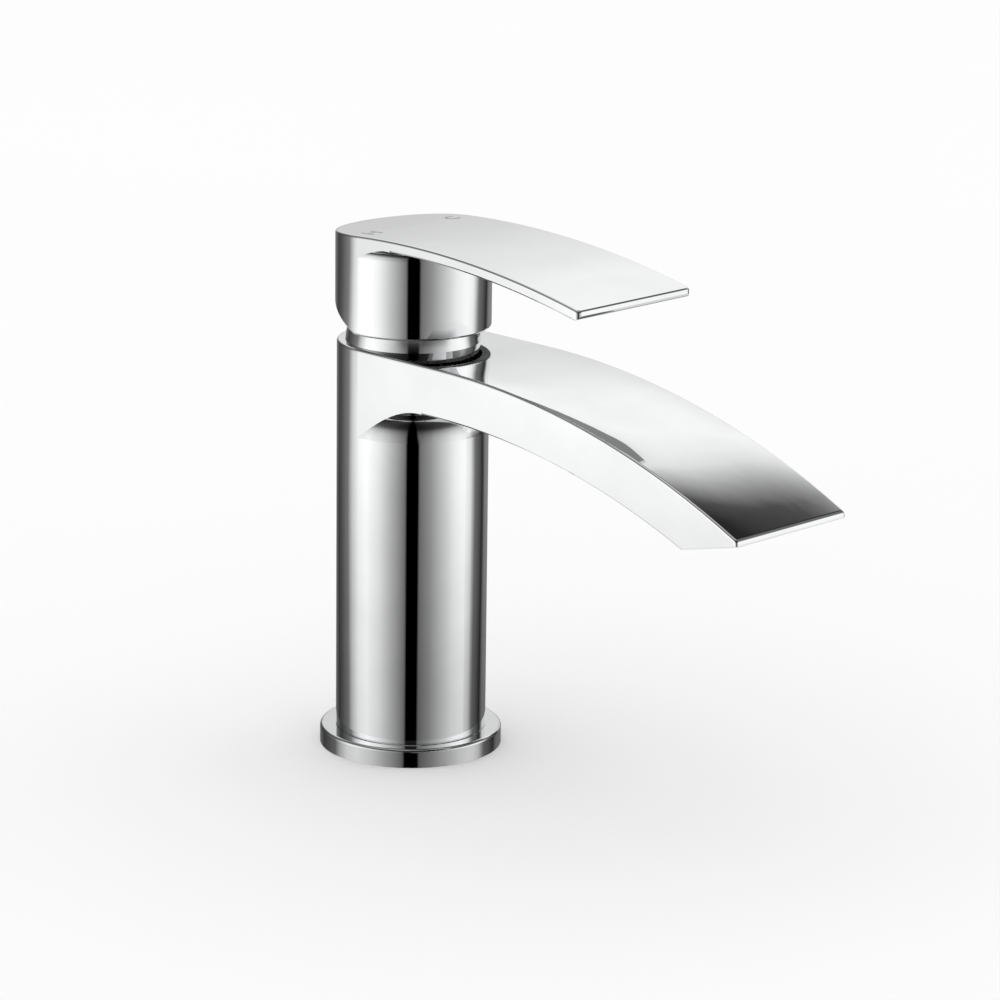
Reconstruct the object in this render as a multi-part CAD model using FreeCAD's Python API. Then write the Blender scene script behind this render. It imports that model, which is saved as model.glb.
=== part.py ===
import FreeCAD
import Part
import math
import os

# Basin mixer tap: a round pillar body with a flat arched spout and a lever handle above it.
# Millimetres. Origin at the centre of the base underside, +X towards the outlet, +Z up.

# Body and base flange
BODY_DIAMETER = 45.0
BODY_HEIGHT = 124.2
BODY_WALL = 4.7
RIM_WALL = 3.6
FLANGE_LEDGE = 4.75
FLANGE_THICKNESS = 5.6
FLANGE_EDGE = 0.9
SPIGOT_STEP = 4.0
JOINT_CHAMFER = 0.35
SEAL_INSET = 2.2
SEAL_WIDTH = 3.2
SEAL_DEPTH = 1.8

# Spout
SPOUT_REACH = 148.8
SPOUT_THICKNESS = 14.4
SPOUT_LEVEL_LENGTH = 33.0
SPOUT_TOP_RADIUS = 264.0
SPOUT_TIP_HEIGHT = 1.75
SPOUT_TIP_ROUND = 1.8
SPOUT_ROOT_FILLET = 12.0
SPOUT_EDGE = 0.8
SPOUT_BEVEL = 0.5
TIP_BEVEL = 0.3
OUTLET_FACE_LENGTH = 20.9
WATERWAY_FLOOR = 1.9
WATERWAY_HEIGHT = 4.2
WATERWAY_WIDTH = 26.0

# Supply holes and fixing hole in the base
INLET_THREAD_RADIUS = 4.6
INLET_THREAD_LENGTH = 14.0
INLET_SPREAD = 8.5
INLET_FORWARD = 2.0
INLET_BORE_RADIUS = 3.4
STUD_THREAD_RADIUS = 3.4
STUD_THREAD_LENGTH = 18.0
STUD_BACK = 11.5

# Handle
HANDLE_OVERHANG = 0.5
HANDLE_GAP = 4.25
HANDLE_TOP_HEIGHT = 34.3
HANDLE_REACH = 88.9
HANDLE_TOP_RADIUS = 317.0
HANDLE_CREST = 18.6
HANDLE_BLADE = 3.1
HANDLE_TIP_HEIGHT = 1.4
HANDLE_TIP_ROUND = 2.0
HANDLE_TIP_BULGE = 0.35
HANDLE_CORNER = 1.6
HANDLE_ROOT_FILLET = 3.6
HANDLE_EDGE = 0.8
HANDLE_BEVEL = 0.5
HANDLE_WALL = 2.6
HANDLE_ROOF = 8.5
RELIEF_START = 1.2
HUB_WALL = 1.4
HUB_RIB_WIDTH = 9.0
HUB_RIB_HEIGHT = 7.0
SCREW_RADIUS = 2.4
SCREW_LENGTH = 11.0
SCREW_DROP = 5.0
SCREW_SOCKET = 2.5
SCREW_SOCKET_DEPTH = 3.0
PLUG_RADIUS = 3.2
PLUG_DEPTH = 3.0

# Motion of the lever
LIFT_ANGLE = 25.0
TURN_ANGLE = 50.0
PIVOT_DEPTH = 0.2

# Trim ring under the handle
TRIM_CLEARANCE = 0.3
TRIM_INSET = 0.5
TRIM_SLOPE_ANGLE = 8.0
TRIM_TOP = 11.3
TRIM_WALL = 3.5
TRIM_CROWN_WALL = 1.6

# Cartridge, from the top down
NUT_THREAD_LENGTH = 5.0
NUT_NECK_HEIGHT = 6.8
NUT_NECK_WALL = 3.4
NUT_SLOT_WIDTH = 4.0
NUT_SLOT_DEPTH = 2.2
HOUSING_FLANGE = 3.0
HOUSING_ANNULUS = 1.8
HOUSING_WALL = 1.5
HOUSING_LIP = 1.8
GUIDE_SHOULDER = 2.4
GUIDE_FLANGE = 4.8
GUIDE_TOP = 9.0
GUIDE_SLOT_ROOM = 0.6
STEM_SQUARE = 8.0
STEM_HEIGHT = 27.5
STEM_BOSS_RADIUS = 4.6
STEM_ARM = 10.5
STEM_ARM_THICKNESS = 4.0
STEM_END_RADIUS = 2.4
PIN_RADIUS = 1.6
PIN_SETBACK = 1.0
CARRIER_THICKNESS = 5.0
CARRIER_TOWER = 3.2
CARRIER_WALL = 1.8
CARRIER_SIDE = 0.5
DISC_THICKNESS = 4.0
DISC_ROOM = 0.6
DISC_POCKET_DEPTH = 2.2
DISC_PORT_SPREAD = 6.4
DISC_PORT_RADIUS = 2.4
DISC_OUTLET_BACK = 5.5
DISC_OUTLET_RADIUS = 3.0
BASE_FLOOR = 8.0
BASE_SHOULDER = 4.0
BASE_RIM = 2.0
BASE_RIM_WALL = 1.2
BASE_PORT_HEIGHT = 2.4
INLET_SEAL_WIDTH = 1.5
INLET_SEAL_DEPTH = 1.4
O_RING_RADIUS = 0.75
STOP_RING_HEIGHT = 1.7
STOP_RING_WALL = 1.4
STOP_LUG_LENGTH = 2.1
STOP_LUG_HALF_ANGLE = 12.0
STOP_TAB_HALF_ANGLE = 8.0
STOP_MARGIN_ANGLE = 1.5

# Aerator in the outlet face
AERATOR_RADIUS = 7.2
AERATOR_SETBACK = 11.6
AERATOR_RECESS = 0.25
AERATOR_WALL = 1.5
AERATOR_LIP_HEIGHT = 0.5
AERATOR_LIP_WIDTH = 0.7
SCREEN_THICKNESS = 0.4
SCREEN_HOLE_RADIUS = 0.42
SCREEN_PITCH = 1.35
INSERT_THICKNESS = 1.4
INSERT_HOLE_RADIUS = 0.5
INSERT_HOLES = 12
WASHER_THICKNESS = 0.7
OUTLET_BORE_RADIUS = 4.6
OUTLET_BORE_DEPTH = 6.4

# Clearances
RUNNING_GAP = 0.3
CLOSE_FIT = 0.05
END_PLAY = 0.2
FACE_GAP = 0.3

V = FreeCAD.Vector


def rod(radius, low, high, x=0.0, y=0.0):
    """Upright cylinder between two heights."""
    return Part.makeCylinder(radius, high - low, V(x, y, low))


def ring(outer, inner, low, high):
    """Upright tube between two heights, about the body axis."""
    return rod(outer, low, high).cut(rod(inner, low - 1.0, high + 1.0))


def block(x_low, x_high, half_width, low, high):
    """Box that is symmetric about the plane of the spout."""
    return Part.makeBox(x_high - x_low, 2.0 * half_width, high - low, V(x_low, -half_width, low))


def cross_rod(radius, half_length, x, z):
    """Cylinder along the lever's pivot direction."""
    return Part.makeCylinder(radius, 2.0 * half_length, V(x, -half_length, z), V(0, 1, 0))


def turned(points):
    """Solid turned about the body axis from a closed outline of (radius, height) points."""
    outline = [V(radius, 0, height) for radius, height in points]
    face = Part.Face(Part.makePolygon(outline + outline[:1]))
    return face.revolve(V(0, 0, 0), V(0, 0, 1), 360.0)


def turned_face(edges):
    """Solid turned about the body axis from the edges of a closed outline."""
    face = Part.Face(Part.Wire(Part.__sortEdges__(edges)))
    return face.revolve(V(0, 0, 0), V(0, 0, 1), 360.0)


def plate(edges, half_width):
    """Prism across the tap from the edges of a closed side outline."""
    face = Part.Face(Part.Wire(Part.__sortEdges__(edges)))
    face.translate(V(0, -half_width, 0))
    return face.extrude(V(0, 2.0 * half_width, 0))


def line(start, end):
    """Straight edge in the plane of the spout."""
    return Part.makeLine(V(start[0], 0, start[1]), V(end[0], 0, end[1]))


def arc(start, middle, end):
    """Curved edge in the plane of the spout."""
    points = [V(point[0], 0, point[1]) for point in (start, middle, end)]
    return Part.Arc(points[0], points[1], points[2]).toShape()


def on_circle(centre, radius, x):
    """Point of a circle's upper half at a distance along the tap."""
    return (x, centre[1] + math.sqrt(radius ** 2 - (x - centre[0]) ** 2))


def o_ring(middle_radius, height):
    """Round-section rubber ring about the body axis."""
    return Part.makeTorus(middle_radius, O_RING_RADIUS, V(0, 0, height))


def root_fillet(radius, fillet, height, half_width):
    """Hollow rounding between an upright cylinder and a flat underside in front of it."""
    corner = (radius, height)
    outer = (radius + fillet, height)
    lower = (radius, height - fillet)
    bend = fillet * (1.0 - math.sqrt(0.5))
    hollow = arc(outer, (radius + bend, height - bend), lower)
    whole = turned_face([line(corner, outer), hollow, line(lower, corner)])
    front = block(0.0, radius + fillet + 1.0, half_width, height - fillet - 1.0, height + 1.0)
    return whole.common(front)


def edge_face(half_width, bevel):
    """Cross-section that is cut off the lower edge of a plate whose underside is at height 0."""
    corners = [
        V(0, -half_width - 1.0, bevel + 1.0),
        V(0, -half_width + bevel + 1.0, -1.0),
        V(0, -half_width - 1.0, -1.0),
        V(0, -half_width - 1.0, bevel + 1.0),
    ]
    return Part.Face(Part.makePolygon(corners))


def both_sides(tool):
    """A piece and its mirror image on the other side of the spout."""
    return [tool, tool.mirror(V(0, 0, 0), V(0, 1, 0))]


def straight_bevel(start, end, half_width, bevel):
    """Material cut off the lower edges of a plate along a straight part of its side outline."""
    way = V(end[0] - start[0], 0, end[1] - start[1])
    face = edge_face(half_width, bevel)
    face.rotate(V(0, 0, 0), V(0, 1, 0), -math.degrees(math.atan2(way.z, way.x)))
    face.translate(V(start[0], 0, start[1]))
    return both_sides(face.extrude(way))


def arched_bevel(centre, radius, x_start, x_end, half_width, bevel):
    """Material cut off the lower edges of a plate along an arched part of its side outline."""
    first = math.degrees(math.asin((x_start - centre[0]) / radius))
    last = math.degrees(math.asin((x_end - centre[0]) / radius))
    middle = V(centre[0], 0, centre[1])
    face = edge_face(half_width, bevel)
    face.translate(V(centre[0], 0, centre[1] + radius))
    face.rotate(middle, V(0, 1, 0), first)
    return both_sides(face.revolve(middle, V(0, 1, 0), last - first))


def root_length(radius, fillet):
    """Distance along the side of a plate over which a root fillet reaches."""
    return math.sqrt((radius + fillet) ** 2 - radius ** 2)


def edges_where(shape, test):
    """Edges whose middle point satisfies a test."""
    chosen = []
    for edge in shape.Edges:
        middle = edge.valueAt((edge.FirstParameter + edge.LastParameter) / 2.0)
        if test(middle):
            chosen.append(edge)
    return chosen


def save(shape, name):
    """Write one piece of the tap."""
    shape.exportStep("parts/" + name + ".step")


os.makedirs("parts", exist_ok=True)

# Radii, from the outside in
BODY_RADIUS = BODY_DIAMETER / 2.0
FLANGE_RADIUS = BODY_RADIUS + FLANGE_LEDGE
SPIGOT_RADIUS = BODY_RADIUS - SPIGOT_STEP
CHAMBER_RADIUS = BODY_RADIUS - BODY_WALL
NUT_BORE_RADIUS = BODY_RADIUS - RIM_WALL
HANDLE_RADIUS = BODY_RADIUS + HANDLE_OVERHANG
CAVITY_RADIUS = HANDLE_RADIUS - HANDLE_WALL
HOUSING_RADIUS = CHAMBER_RADIUS - HOUSING_ANNULUS
HOUSING_BORE = HOUSING_RADIUS - HOUSING_WALL
GUIDE_FLANGE_RADIUS = HOUSING_BORE - RUNNING_GAP
GUIDE_RADIUS = GUIDE_FLANGE_RADIUS - GUIDE_SHOULDER

# Heights, from the body top down and up
PIVOT = BODY_HEIGHT - PIVOT_DEPTH
NUT_LOW = BODY_HEIGHT - NUT_THREAD_LENGTH
LIP_LOW = NUT_LOW - HOUSING_LIP
GUIDE_FLANGE_TOP = LIP_LOW - END_PLAY
GUIDE_LOW = GUIDE_FLANGE_TOP - GUIDE_FLANGE
CARRIER_TOP = GUIDE_LOW - FACE_GAP
CARRIER_LOW = CARRIER_TOP - CARRIER_THICKNESS
FIXED_DISC_TOP = CARRIER_LOW - DISC_THICKNESS
FIXED_DISC_LOW = FIXED_DISC_TOP - DISC_THICKNESS
SEAT = FIXED_DISC_LOW - BASE_FLOOR
SHOULDER_TOP = SEAT + BASE_SHOULDER
NUT_TOP = BODY_HEIGHT + NUT_NECK_HEIGHT
GUIDE_HIGH = PIVOT + GUIDE_TOP
STEM_END = PIVOT - STEM_ARM
STEM_TOP = PIVOT + STEM_HEIGHT
HANDLE_LOW = BODY_HEIGHT + HANDLE_GAP
HANDLE_TOP = BODY_HEIGHT + HANDLE_TOP_HEIGHT
ROOF = HANDLE_TOP - HANDLE_ROOF
DOME_RADIUS = math.hypot(CAVITY_RADIUS, HANDLE_LOW - PIVOT) - TRIM_CLEARANCE
LIFT = math.radians(LIFT_ANGLE)
DISC_TRAVEL = STEM_ARM * math.sin(LIFT)
DISC_X = -DISC_TRAVEL / 2.0
DISC_RADIUS = HOUSING_BORE - DISC_TRAVEL / 2.0 - DISC_ROOM
INLETS = [(INLET_FORWARD, INLET_SPREAD), (INLET_FORWARD, -INLET_SPREAD)]

# Side outline of the spout
SPOUT_CENTRE = (SPOUT_LEVEL_LENGTH, BODY_HEIGHT - SPOUT_TOP_RADIUS)
SPOUT_UNDER_RADIUS = SPOUT_TOP_RADIUS - SPOUT_THICKNESS
SPOUT_UNDER = BODY_HEIGHT - SPOUT_THICKNESS
TIP_TOP = on_circle(SPOUT_CENTRE, SPOUT_TOP_RADIUS, SPOUT_REACH)
TIP_LOW = (SPOUT_REACH, TIP_TOP[1] - SPOUT_TIP_HEIGHT)
ROUND_CENTRE = on_circle(SPOUT_CENTRE, SPOUT_TOP_RADIUS - SPOUT_TIP_ROUND, SPOUT_REACH - SPOUT_TIP_ROUND)
round_scale = SPOUT_TOP_RADIUS / (SPOUT_TOP_RADIUS - SPOUT_TIP_ROUND)
ROUND_TOP = (
    SPOUT_CENTRE[0] + (ROUND_CENTRE[0] - SPOUT_CENTRE[0]) * round_scale,
    SPOUT_CENTRE[1] + (ROUND_CENTRE[1] - SPOUT_CENTRE[1]) * round_scale,
)
ROUND_FRONT = (SPOUT_REACH, ROUND_CENTRE[1])
reach_x = TIP_LOW[0] - SPOUT_CENTRE[0]
reach_z = TIP_LOW[1] - SPOUT_CENTRE[1]
reach = math.hypot(reach_x, reach_z)
along = (SPOUT_UNDER_RADIUS ** 2 - OUTLET_FACE_LENGTH ** 2 + reach ** 2) / (2.0 * reach)
across = math.sqrt(SPOUT_UNDER_RADIUS ** 2 - along ** 2)
OUTLET_START = (
    SPOUT_CENTRE[0] + (along * reach_x - across * reach_z) / reach,
    SPOUT_CENTRE[1] + (along * reach_z + across * reach_x) / reach,
)
OUTLET_TILT = math.atan2(TIP_LOW[1] - OUTLET_START[1], TIP_LOW[0] - OUTLET_START[0])
OUTLET = (
    TIP_LOW[0] - AERATOR_SETBACK * math.cos(OUTLET_TILT),
    TIP_LOW[1] - AERATOR_SETBACK * math.sin(OUTLET_TILT),
)


def at_outlet(shape):
    """Move a piece built upward from the origin so that it stands inward on the outlet face."""
    shape.rotate(V(0, 0, 0), V(0, 1, 0), -math.degrees(OUTLET_TILT))
    shape.translate(V(OUTLET[0], 0, OUTLET[1]))
    return shape


def spout_channel(top_radius, low_radius, x_start, x_end):
    """Side outline of a passage that follows the spout between two concentric arcs."""
    top_level = SPOUT_CENTRE[1] + top_radius
    low_level = SPOUT_CENTRE[1] + low_radius
    middle = (SPOUT_LEVEL_LENGTH + x_end) / 2.0
    top_start = (SPOUT_LEVEL_LENGTH, top_level)
    low_start = (SPOUT_LEVEL_LENGTH, low_level)
    top_end = on_circle(SPOUT_CENTRE, top_radius, x_end)
    low_end = on_circle(SPOUT_CENTRE, low_radius, x_end)
    return [
        line((x_start, low_level), (x_start, top_level)),
        line((x_start, top_level), top_start),
        arc(top_start, on_circle(SPOUT_CENTRE, top_radius, middle), top_end),
        line(top_end, low_end),
        arc(low_end, on_circle(SPOUT_CENTRE, low_radius, middle), low_start),
        line(low_start, (x_start, low_level)),
    ]


def on_spout_top(point):
    """Whether a point lies on the outer edge of the top surface or on a corner of the tip."""
    if point.x > 0.0 and abs(point.y) < BODY_RADIUS - 0.01:
        return False
    if point.x < SPOUT_LEVEL_LENGTH:
        return point.z > BODY_HEIGHT - 0.01
    distance = math.hypot(point.x - SPOUT_CENTRE[0], point.z - SPOUT_CENTRE[1])
    return distance > SPOUT_TOP_RADIUS - 0.01 or point.x > ROUND_TOP[0] + 0.01


# Body casting with its spout
middle_x = (SPOUT_LEVEL_LENGTH + ROUND_TOP[0]) / 2.0
round_angle = math.atan2(ROUND_TOP[1] - ROUND_CENTRE[1], ROUND_TOP[0] - ROUND_CENTRE[0]) / 2.0
round_middle = (
    ROUND_CENTRE[0] + SPOUT_TIP_ROUND * math.cos(round_angle),
    ROUND_CENTRE[1] + SPOUT_TIP_ROUND * math.sin(round_angle),
)
under_middle_x = (SPOUT_LEVEL_LENGTH + OUTLET_START[0]) / 2.0
spout = plate(
    [
        line((0.0, SPOUT_UNDER), (0.0, BODY_HEIGHT)),
        line((0.0, BODY_HEIGHT), (SPOUT_LEVEL_LENGTH, BODY_HEIGHT)),
        arc(
            (SPOUT_LEVEL_LENGTH, BODY_HEIGHT),
            on_circle(SPOUT_CENTRE, SPOUT_TOP_RADIUS, middle_x),
            ROUND_TOP,
        ),
        arc(ROUND_TOP, round_middle, ROUND_FRONT),
        line(ROUND_FRONT, TIP_LOW),
        line(TIP_LOW, OUTLET_START),
        arc(
            OUTLET_START,
            on_circle(SPOUT_CENTRE, SPOUT_UNDER_RADIUS, under_middle_x),
            (SPOUT_LEVEL_LENGTH, SPOUT_UNDER),
        ),
        line((SPOUT_LEVEL_LENGTH, SPOUT_UNDER), (0.0, SPOUT_UNDER)),
    ],
    BODY_RADIUS,
)
pillar = rod(BODY_RADIUS, FLANGE_THICKNESS, BODY_HEIGHT)
outside = pillar.fuse(spout).removeSplitter()
rim = edges_where(outside, on_spout_top)
outside = outside.makeFillet(SPOUT_EDGE, rim)
bevel_start = (root_length(BODY_RADIUS, SPOUT_ROOT_FILLET) + SPOUT_BEVEL, SPOUT_UNDER)
level_end = (SPOUT_LEVEL_LENGTH, SPOUT_UNDER)
outlet_x = math.cos(OUTLET_TILT)
outlet_z = math.sin(OUTLET_TILT)
past_tip = (TIP_LOW[0] + 5.0 * outlet_x, TIP_LOW[1] + 5.0 * outlet_z)
bevels = straight_bevel(bevel_start, level_end, BODY_RADIUS, SPOUT_BEVEL)
bevels += arched_bevel(
    SPOUT_CENTRE, SPOUT_UNDER_RADIUS, SPOUT_LEVEL_LENGTH, OUTLET_START[0], BODY_RADIUS, SPOUT_BEVEL
)
bevels += straight_bevel(OUTLET_START, past_tip, BODY_RADIUS, SPOUT_BEVEL)
bevel_front = (TIP_LOW[0], TIP_LOW[1] + TIP_BEVEL)
bevel_back = (TIP_LOW[0] - TIP_BEVEL * outlet_x, TIP_LOW[1] - TIP_BEVEL * outlet_z)
bevel_x = bevel_front[0] - bevel_back[0]
bevel_z = bevel_front[1] - bevel_back[1]
bevel_high = (bevel_front[0] + bevel_x, bevel_front[1] + bevel_z)
bevel_low = (bevel_back[0] - bevel_x, bevel_back[1] - bevel_z)
bevel_out = (bevel_high[0], bevel_low[1])
bevels.append(plate(
    [line(bevel_high, bevel_low), line(bevel_low, bevel_out), line(bevel_out, bevel_high)],
    BODY_RADIUS + 1.0,
))
for bevel in bevels:
    outside = outside.cut(bevel)
foot = edges_where(
    outside,
    lambda p: p.z < FLANGE_THICKNESS + 0.01 and math.hypot(p.x, p.y) > BODY_RADIUS - 0.01,
)
outside = outside.makeChamfer(JOINT_CHAMFER, foot)
spout_root = root_fillet(BODY_RADIUS, SPOUT_ROOT_FILLET, SPOUT_UNDER, BODY_RADIUS)
outside = outside.fuse(spout_root).removeSplitter()
outside = outside.fuse(rod(SPIGOT_RADIUS, 0.0, FLANGE_THICKNESS + 1.0)).removeSplitter()

channel_low = SPOUT_UNDER_RADIUS + WATERWAY_FLOOR
channel = plate(
    spout_channel(channel_low + WATERWAY_HEIGHT, channel_low, 0.0, OUTLET_START[0]),
    WATERWAY_WIDTH / 2.0,
)
half_height = WATERWAY_HEIGHT / 2.0
link_start = on_circle(SPOUT_CENTRE, channel_low + half_height, OUTLET_START[0] - AERATOR_SETBACK)
link_depth = OUTLET_BORE_DEPTH - half_height
link_end = (
    OUTLET[0] - link_depth * math.sin(OUTLET_TILT),
    OUTLET[1] + link_depth * math.cos(OUTLET_TILT),
)
channel_link = plate(
    [
        line((link_start[0], link_start[1] - half_height), (link_start[0], link_start[1] + half_height)),
        line((link_start[0], link_start[1] + half_height), (link_end[0], link_end[1] + half_height)),
        line((link_end[0], link_end[1] + half_height), (link_end[0], link_end[1] - half_height)),
        line((link_end[0], link_end[1] - half_height), (link_start[0], link_start[1] - half_height)),
    ],
    OUTLET_BORE_RADIUS,
)
hollows = [
    rod(CHAMBER_RADIUS, SEAT, BODY_HEIGHT + 1.0),
    rod(NUT_BORE_RADIUS, NUT_LOW, BODY_HEIGHT + 1.0),
    channel,
    channel_link,
    at_outlet(rod(AERATOR_RADIUS + CLOSE_FIT, -1.0, AERATOR_RECESS + AERATOR_LIP_HEIGHT + SCREEN_THICKNESS
                  + INSERT_THICKNESS + WASHER_THICKNESS)),
    at_outlet(rod(OUTLET_BORE_RADIUS, -1.0, OUTLET_BORE_DEPTH)),
    rod(STUD_THREAD_RADIUS, -1.0, STUD_THREAD_LENGTH, -STUD_BACK),
]
for x, y in INLETS:
    hollows.append(rod(INLET_THREAD_RADIUS, -1.0, INLET_THREAD_LENGTH, x, y))
    hollows.append(rod(INLET_BORE_RADIUS, 0.0, SEAT + 1.0, x, y))
tap_body = outside
for hollow in hollows:
    tap_body = tap_body.cut(hollow)
save(tap_body, "tap_body")

# Base flange and its seal
SEAL_OUTER = FLANGE_RADIUS - SEAL_INSET
SEAL_INNER = SEAL_OUTER - SEAL_WIDTH
base_flange = ring(FLANGE_RADIUS, SPIGOT_RADIUS + RUNNING_GAP, 0.0, FLANGE_THICKNESS)
lip = edges_where(
    base_flange,
    lambda p: p.z > FLANGE_THICKNESS - 0.01 and math.hypot(p.x, p.y) > FLANGE_RADIUS - 0.01,
)
base_flange = base_flange.makeFillet(FLANGE_EDGE, lip)
base_flange = base_flange.cut(ring(SEAL_OUTER + CLOSE_FIT, SEAL_INNER - CLOSE_FIT, -1.0, SEAL_DEPTH))
save(base_flange, "base_flange")
save(ring(SEAL_OUTER, SEAL_INNER, 0.0, SEAL_DEPTH), "base_seal")

# Trim ring, kept inside a ball about the lever's pivot and leaning inwards from its foot
trim_radius = math.sqrt(DOME_RADIUS ** 2 - PIVOT_DEPTH ** 2)
trim_bore = trim_radius - TRIM_WALL
crown_inner = DOME_RADIUS - TRIM_CROWN_WALL
crown_top = TRIM_TOP + PIVOT_DEPTH
crown_low = math.sqrt(crown_inner ** 2 - trim_bore ** 2)
inner_bend = (crown_low + crown_top) / 2.0
outer_top = (math.sqrt(DOME_RADIUS ** 2 - crown_top ** 2), PIVOT + crown_top)
inner_top = (math.sqrt(crown_inner ** 2 - crown_top ** 2), PIVOT + crown_top)
trim_foot = (trim_radius - TRIM_INSET, BODY_HEIGHT)
chord_in = trim_foot[0] - outer_top[0]
chord_up = outer_top[1] - trim_foot[1]
half_turn = math.atan2(chord_in, chord_up) - math.radians(TRIM_SLOPE_ANGLE)
bulge = math.tan(half_turn / 2.0) / 2.0
outer_bend = (
    (trim_foot[0] + outer_top[0]) / 2.0 + bulge * chord_up,
    (trim_foot[1] + outer_top[1]) / 2.0 + bulge * chord_in,
)
trim_ring = turned_face([
    line((trim_bore, BODY_HEIGHT), trim_foot),
    arc(trim_foot, outer_bend, outer_top),
    line(outer_top, inner_top),
    arc(
        inner_top,
        (math.sqrt(crown_inner ** 2 - inner_bend ** 2), PIVOT + inner_bend),
        (trim_bore, PIVOT + crown_low),
    ),
    line((trim_bore, PIVOT + crown_low), (trim_bore, BODY_HEIGHT)),
])
save(trim_ring, "trim_ring")

# Ring nut that holds the cartridge down and carries the trim ring
neck_radius = trim_bore - RUNNING_GAP
nut_bore = neck_radius - NUT_NECK_WALL
groove_height = BODY_HEIGHT + NUT_NECK_HEIGHT / 2.0
trim_o_ring = trim_bore - CLOSE_FIT - O_RING_RADIUS
cartridge_nut = turned([
    (nut_bore, NUT_LOW),
    (NUT_BORE_RADIUS - CLOSE_FIT, NUT_LOW),
    (NUT_BORE_RADIUS - CLOSE_FIT, BODY_HEIGHT - FACE_GAP),
    (neck_radius, BODY_HEIGHT - FACE_GAP),
    (neck_radius, NUT_TOP),
    (nut_bore, NUT_TOP),
])
groove_half = O_RING_RADIUS + CLOSE_FIT
cartridge_nut = cartridge_nut.cut(
    ring(
        neck_radius + 1.0,
        trim_o_ring - groove_half,
        groove_height - groove_half,
        groove_height + groove_half,
    )
)
slot_reach = neck_radius + 1.0
slot_low = NUT_TOP - NUT_SLOT_DEPTH
nut_slot = block(-slot_reach, slot_reach, NUT_SLOT_WIDTH / 2.0, slot_low, NUT_TOP + 1.0)
for angle in (0.0, 90.0):
    slot = nut_slot.copy()
    slot.rotate(V(0, 0, 0), V(0, 0, 1), angle)
    cartridge_nut = cartridge_nut.cut(slot)


def sector(outer, inner, low, high, middle_angle, half_angle):
    """Part of a ring between two angles, counted from the spout's direction."""
    solid = Part.makeCylinder(outer, high - low, V(0, 0, low), V(0, 0, 1), 2.0 * half_angle)
    solid.rotate(V(0, 0, 0), V(0, 0, 1), middle_angle - half_angle)
    return solid.cut(rod(inner, low - 1.0, high + 1.0))


# Temperature stop ring on the spindle guide, and the tabs on the nut that stop it
stop_low = NUT_TOP + FACE_GAP
stop_high = stop_low + STOP_RING_HEIGHT
stop_outer = GUIDE_RADIUS + STOP_RING_WALL
lug_outer = stop_outer + STOP_LUG_LENGTH
tab_angle = TURN_ANGLE + STOP_LUG_HALF_ANGLE + STOP_MARGIN_ANGLE + STOP_TAB_HALF_ANGLE
for side in (-1.0, 1.0):
    tab = sector(
        lug_outer, stop_outer + RUNNING_GAP, NUT_TOP - 0.5, stop_high, side * tab_angle, STOP_TAB_HALF_ANGLE
    )
    cartridge_nut = cartridge_nut.fuse(tab)
save(cartridge_nut.removeSplitter(), "cartridge_nut")
save(o_ring(trim_o_ring, groove_height), "trim_ring_o_ring")
stop_ring = ring(stop_outer, GUIDE_RADIUS + CLOSE_FIT, stop_low, stop_high)
lug = sector(lug_outer, stop_outer - 0.5, stop_low, stop_high, 0.0, STOP_LUG_HALF_ANGLE)
save(stop_ring.fuse(lug).removeSplitter(), "temperature_stop_ring")

# Cartridge housing with its seal
flange_low = NUT_LOW - HOUSING_FLANGE
flange_radius = CHAMBER_RADIUS - RUNNING_GAP
seal_height = NUT_LOW - HOUSING_FLANGE / 2.0
housing_o_ring = CHAMBER_RADIUS - CLOSE_FIT - O_RING_RADIUS
cartridge_housing = turned([
    (HOUSING_BORE, SHOULDER_TOP),
    (HOUSING_RADIUS, SHOULDER_TOP),
    (HOUSING_RADIUS, flange_low),
    (flange_radius, flange_low),
    (flange_radius, NUT_LOW),
    (GUIDE_RADIUS + RUNNING_GAP, NUT_LOW),
    (GUIDE_RADIUS + RUNNING_GAP, LIP_LOW),
    (HOUSING_BORE, LIP_LOW),
])
cartridge_housing = cartridge_housing.cut(
    ring(
        CHAMBER_RADIUS + 1.0,
        housing_o_ring - groove_half,
        seal_height - groove_half,
        seal_height + groove_half,
    )
)
save(cartridge_housing, "cartridge_housing")
save(o_ring(housing_o_ring, seal_height), "housing_o_ring")

# Cartridge base with its inlet seals
base_radius = HOUSING_BORE - RUNNING_GAP
recess_radius = base_radius - BASE_RIM_WALL
cartridge_base = rod(HOUSING_RADIUS, SEAT, SHOULDER_TOP)
cartridge_base = cartridge_base.fuse(rod(base_radius, SEAT, FIXED_DISC_LOW + BASE_RIM))
cartridge_base = cartridge_base.removeSplitter()
cartridge_base = cartridge_base.cut(rod(recess_radius, FIXED_DISC_LOW, FIXED_DISC_LOW + BASE_RIM + 1.0))
port_low = SHOULDER_TOP - BASE_PORT_HEIGHT
base_port = rod(DISC_OUTLET_RADIUS, port_low, FIXED_DISC_LOW + 1.0, -DISC_OUTLET_BACK)
cartridge_base = cartridge_base.cut(base_port)
cartridge_base = cartridge_base.cut(
    block(-HOUSING_RADIUS - 1.0, -DISC_OUTLET_BACK, DISC_OUTLET_RADIUS, port_low, SHOULDER_TOP)
)
seal_outer = INLET_BORE_RADIUS + INLET_SEAL_WIDTH
seal_names = ("inlet_seal_cold", "inlet_seal_hot")
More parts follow.
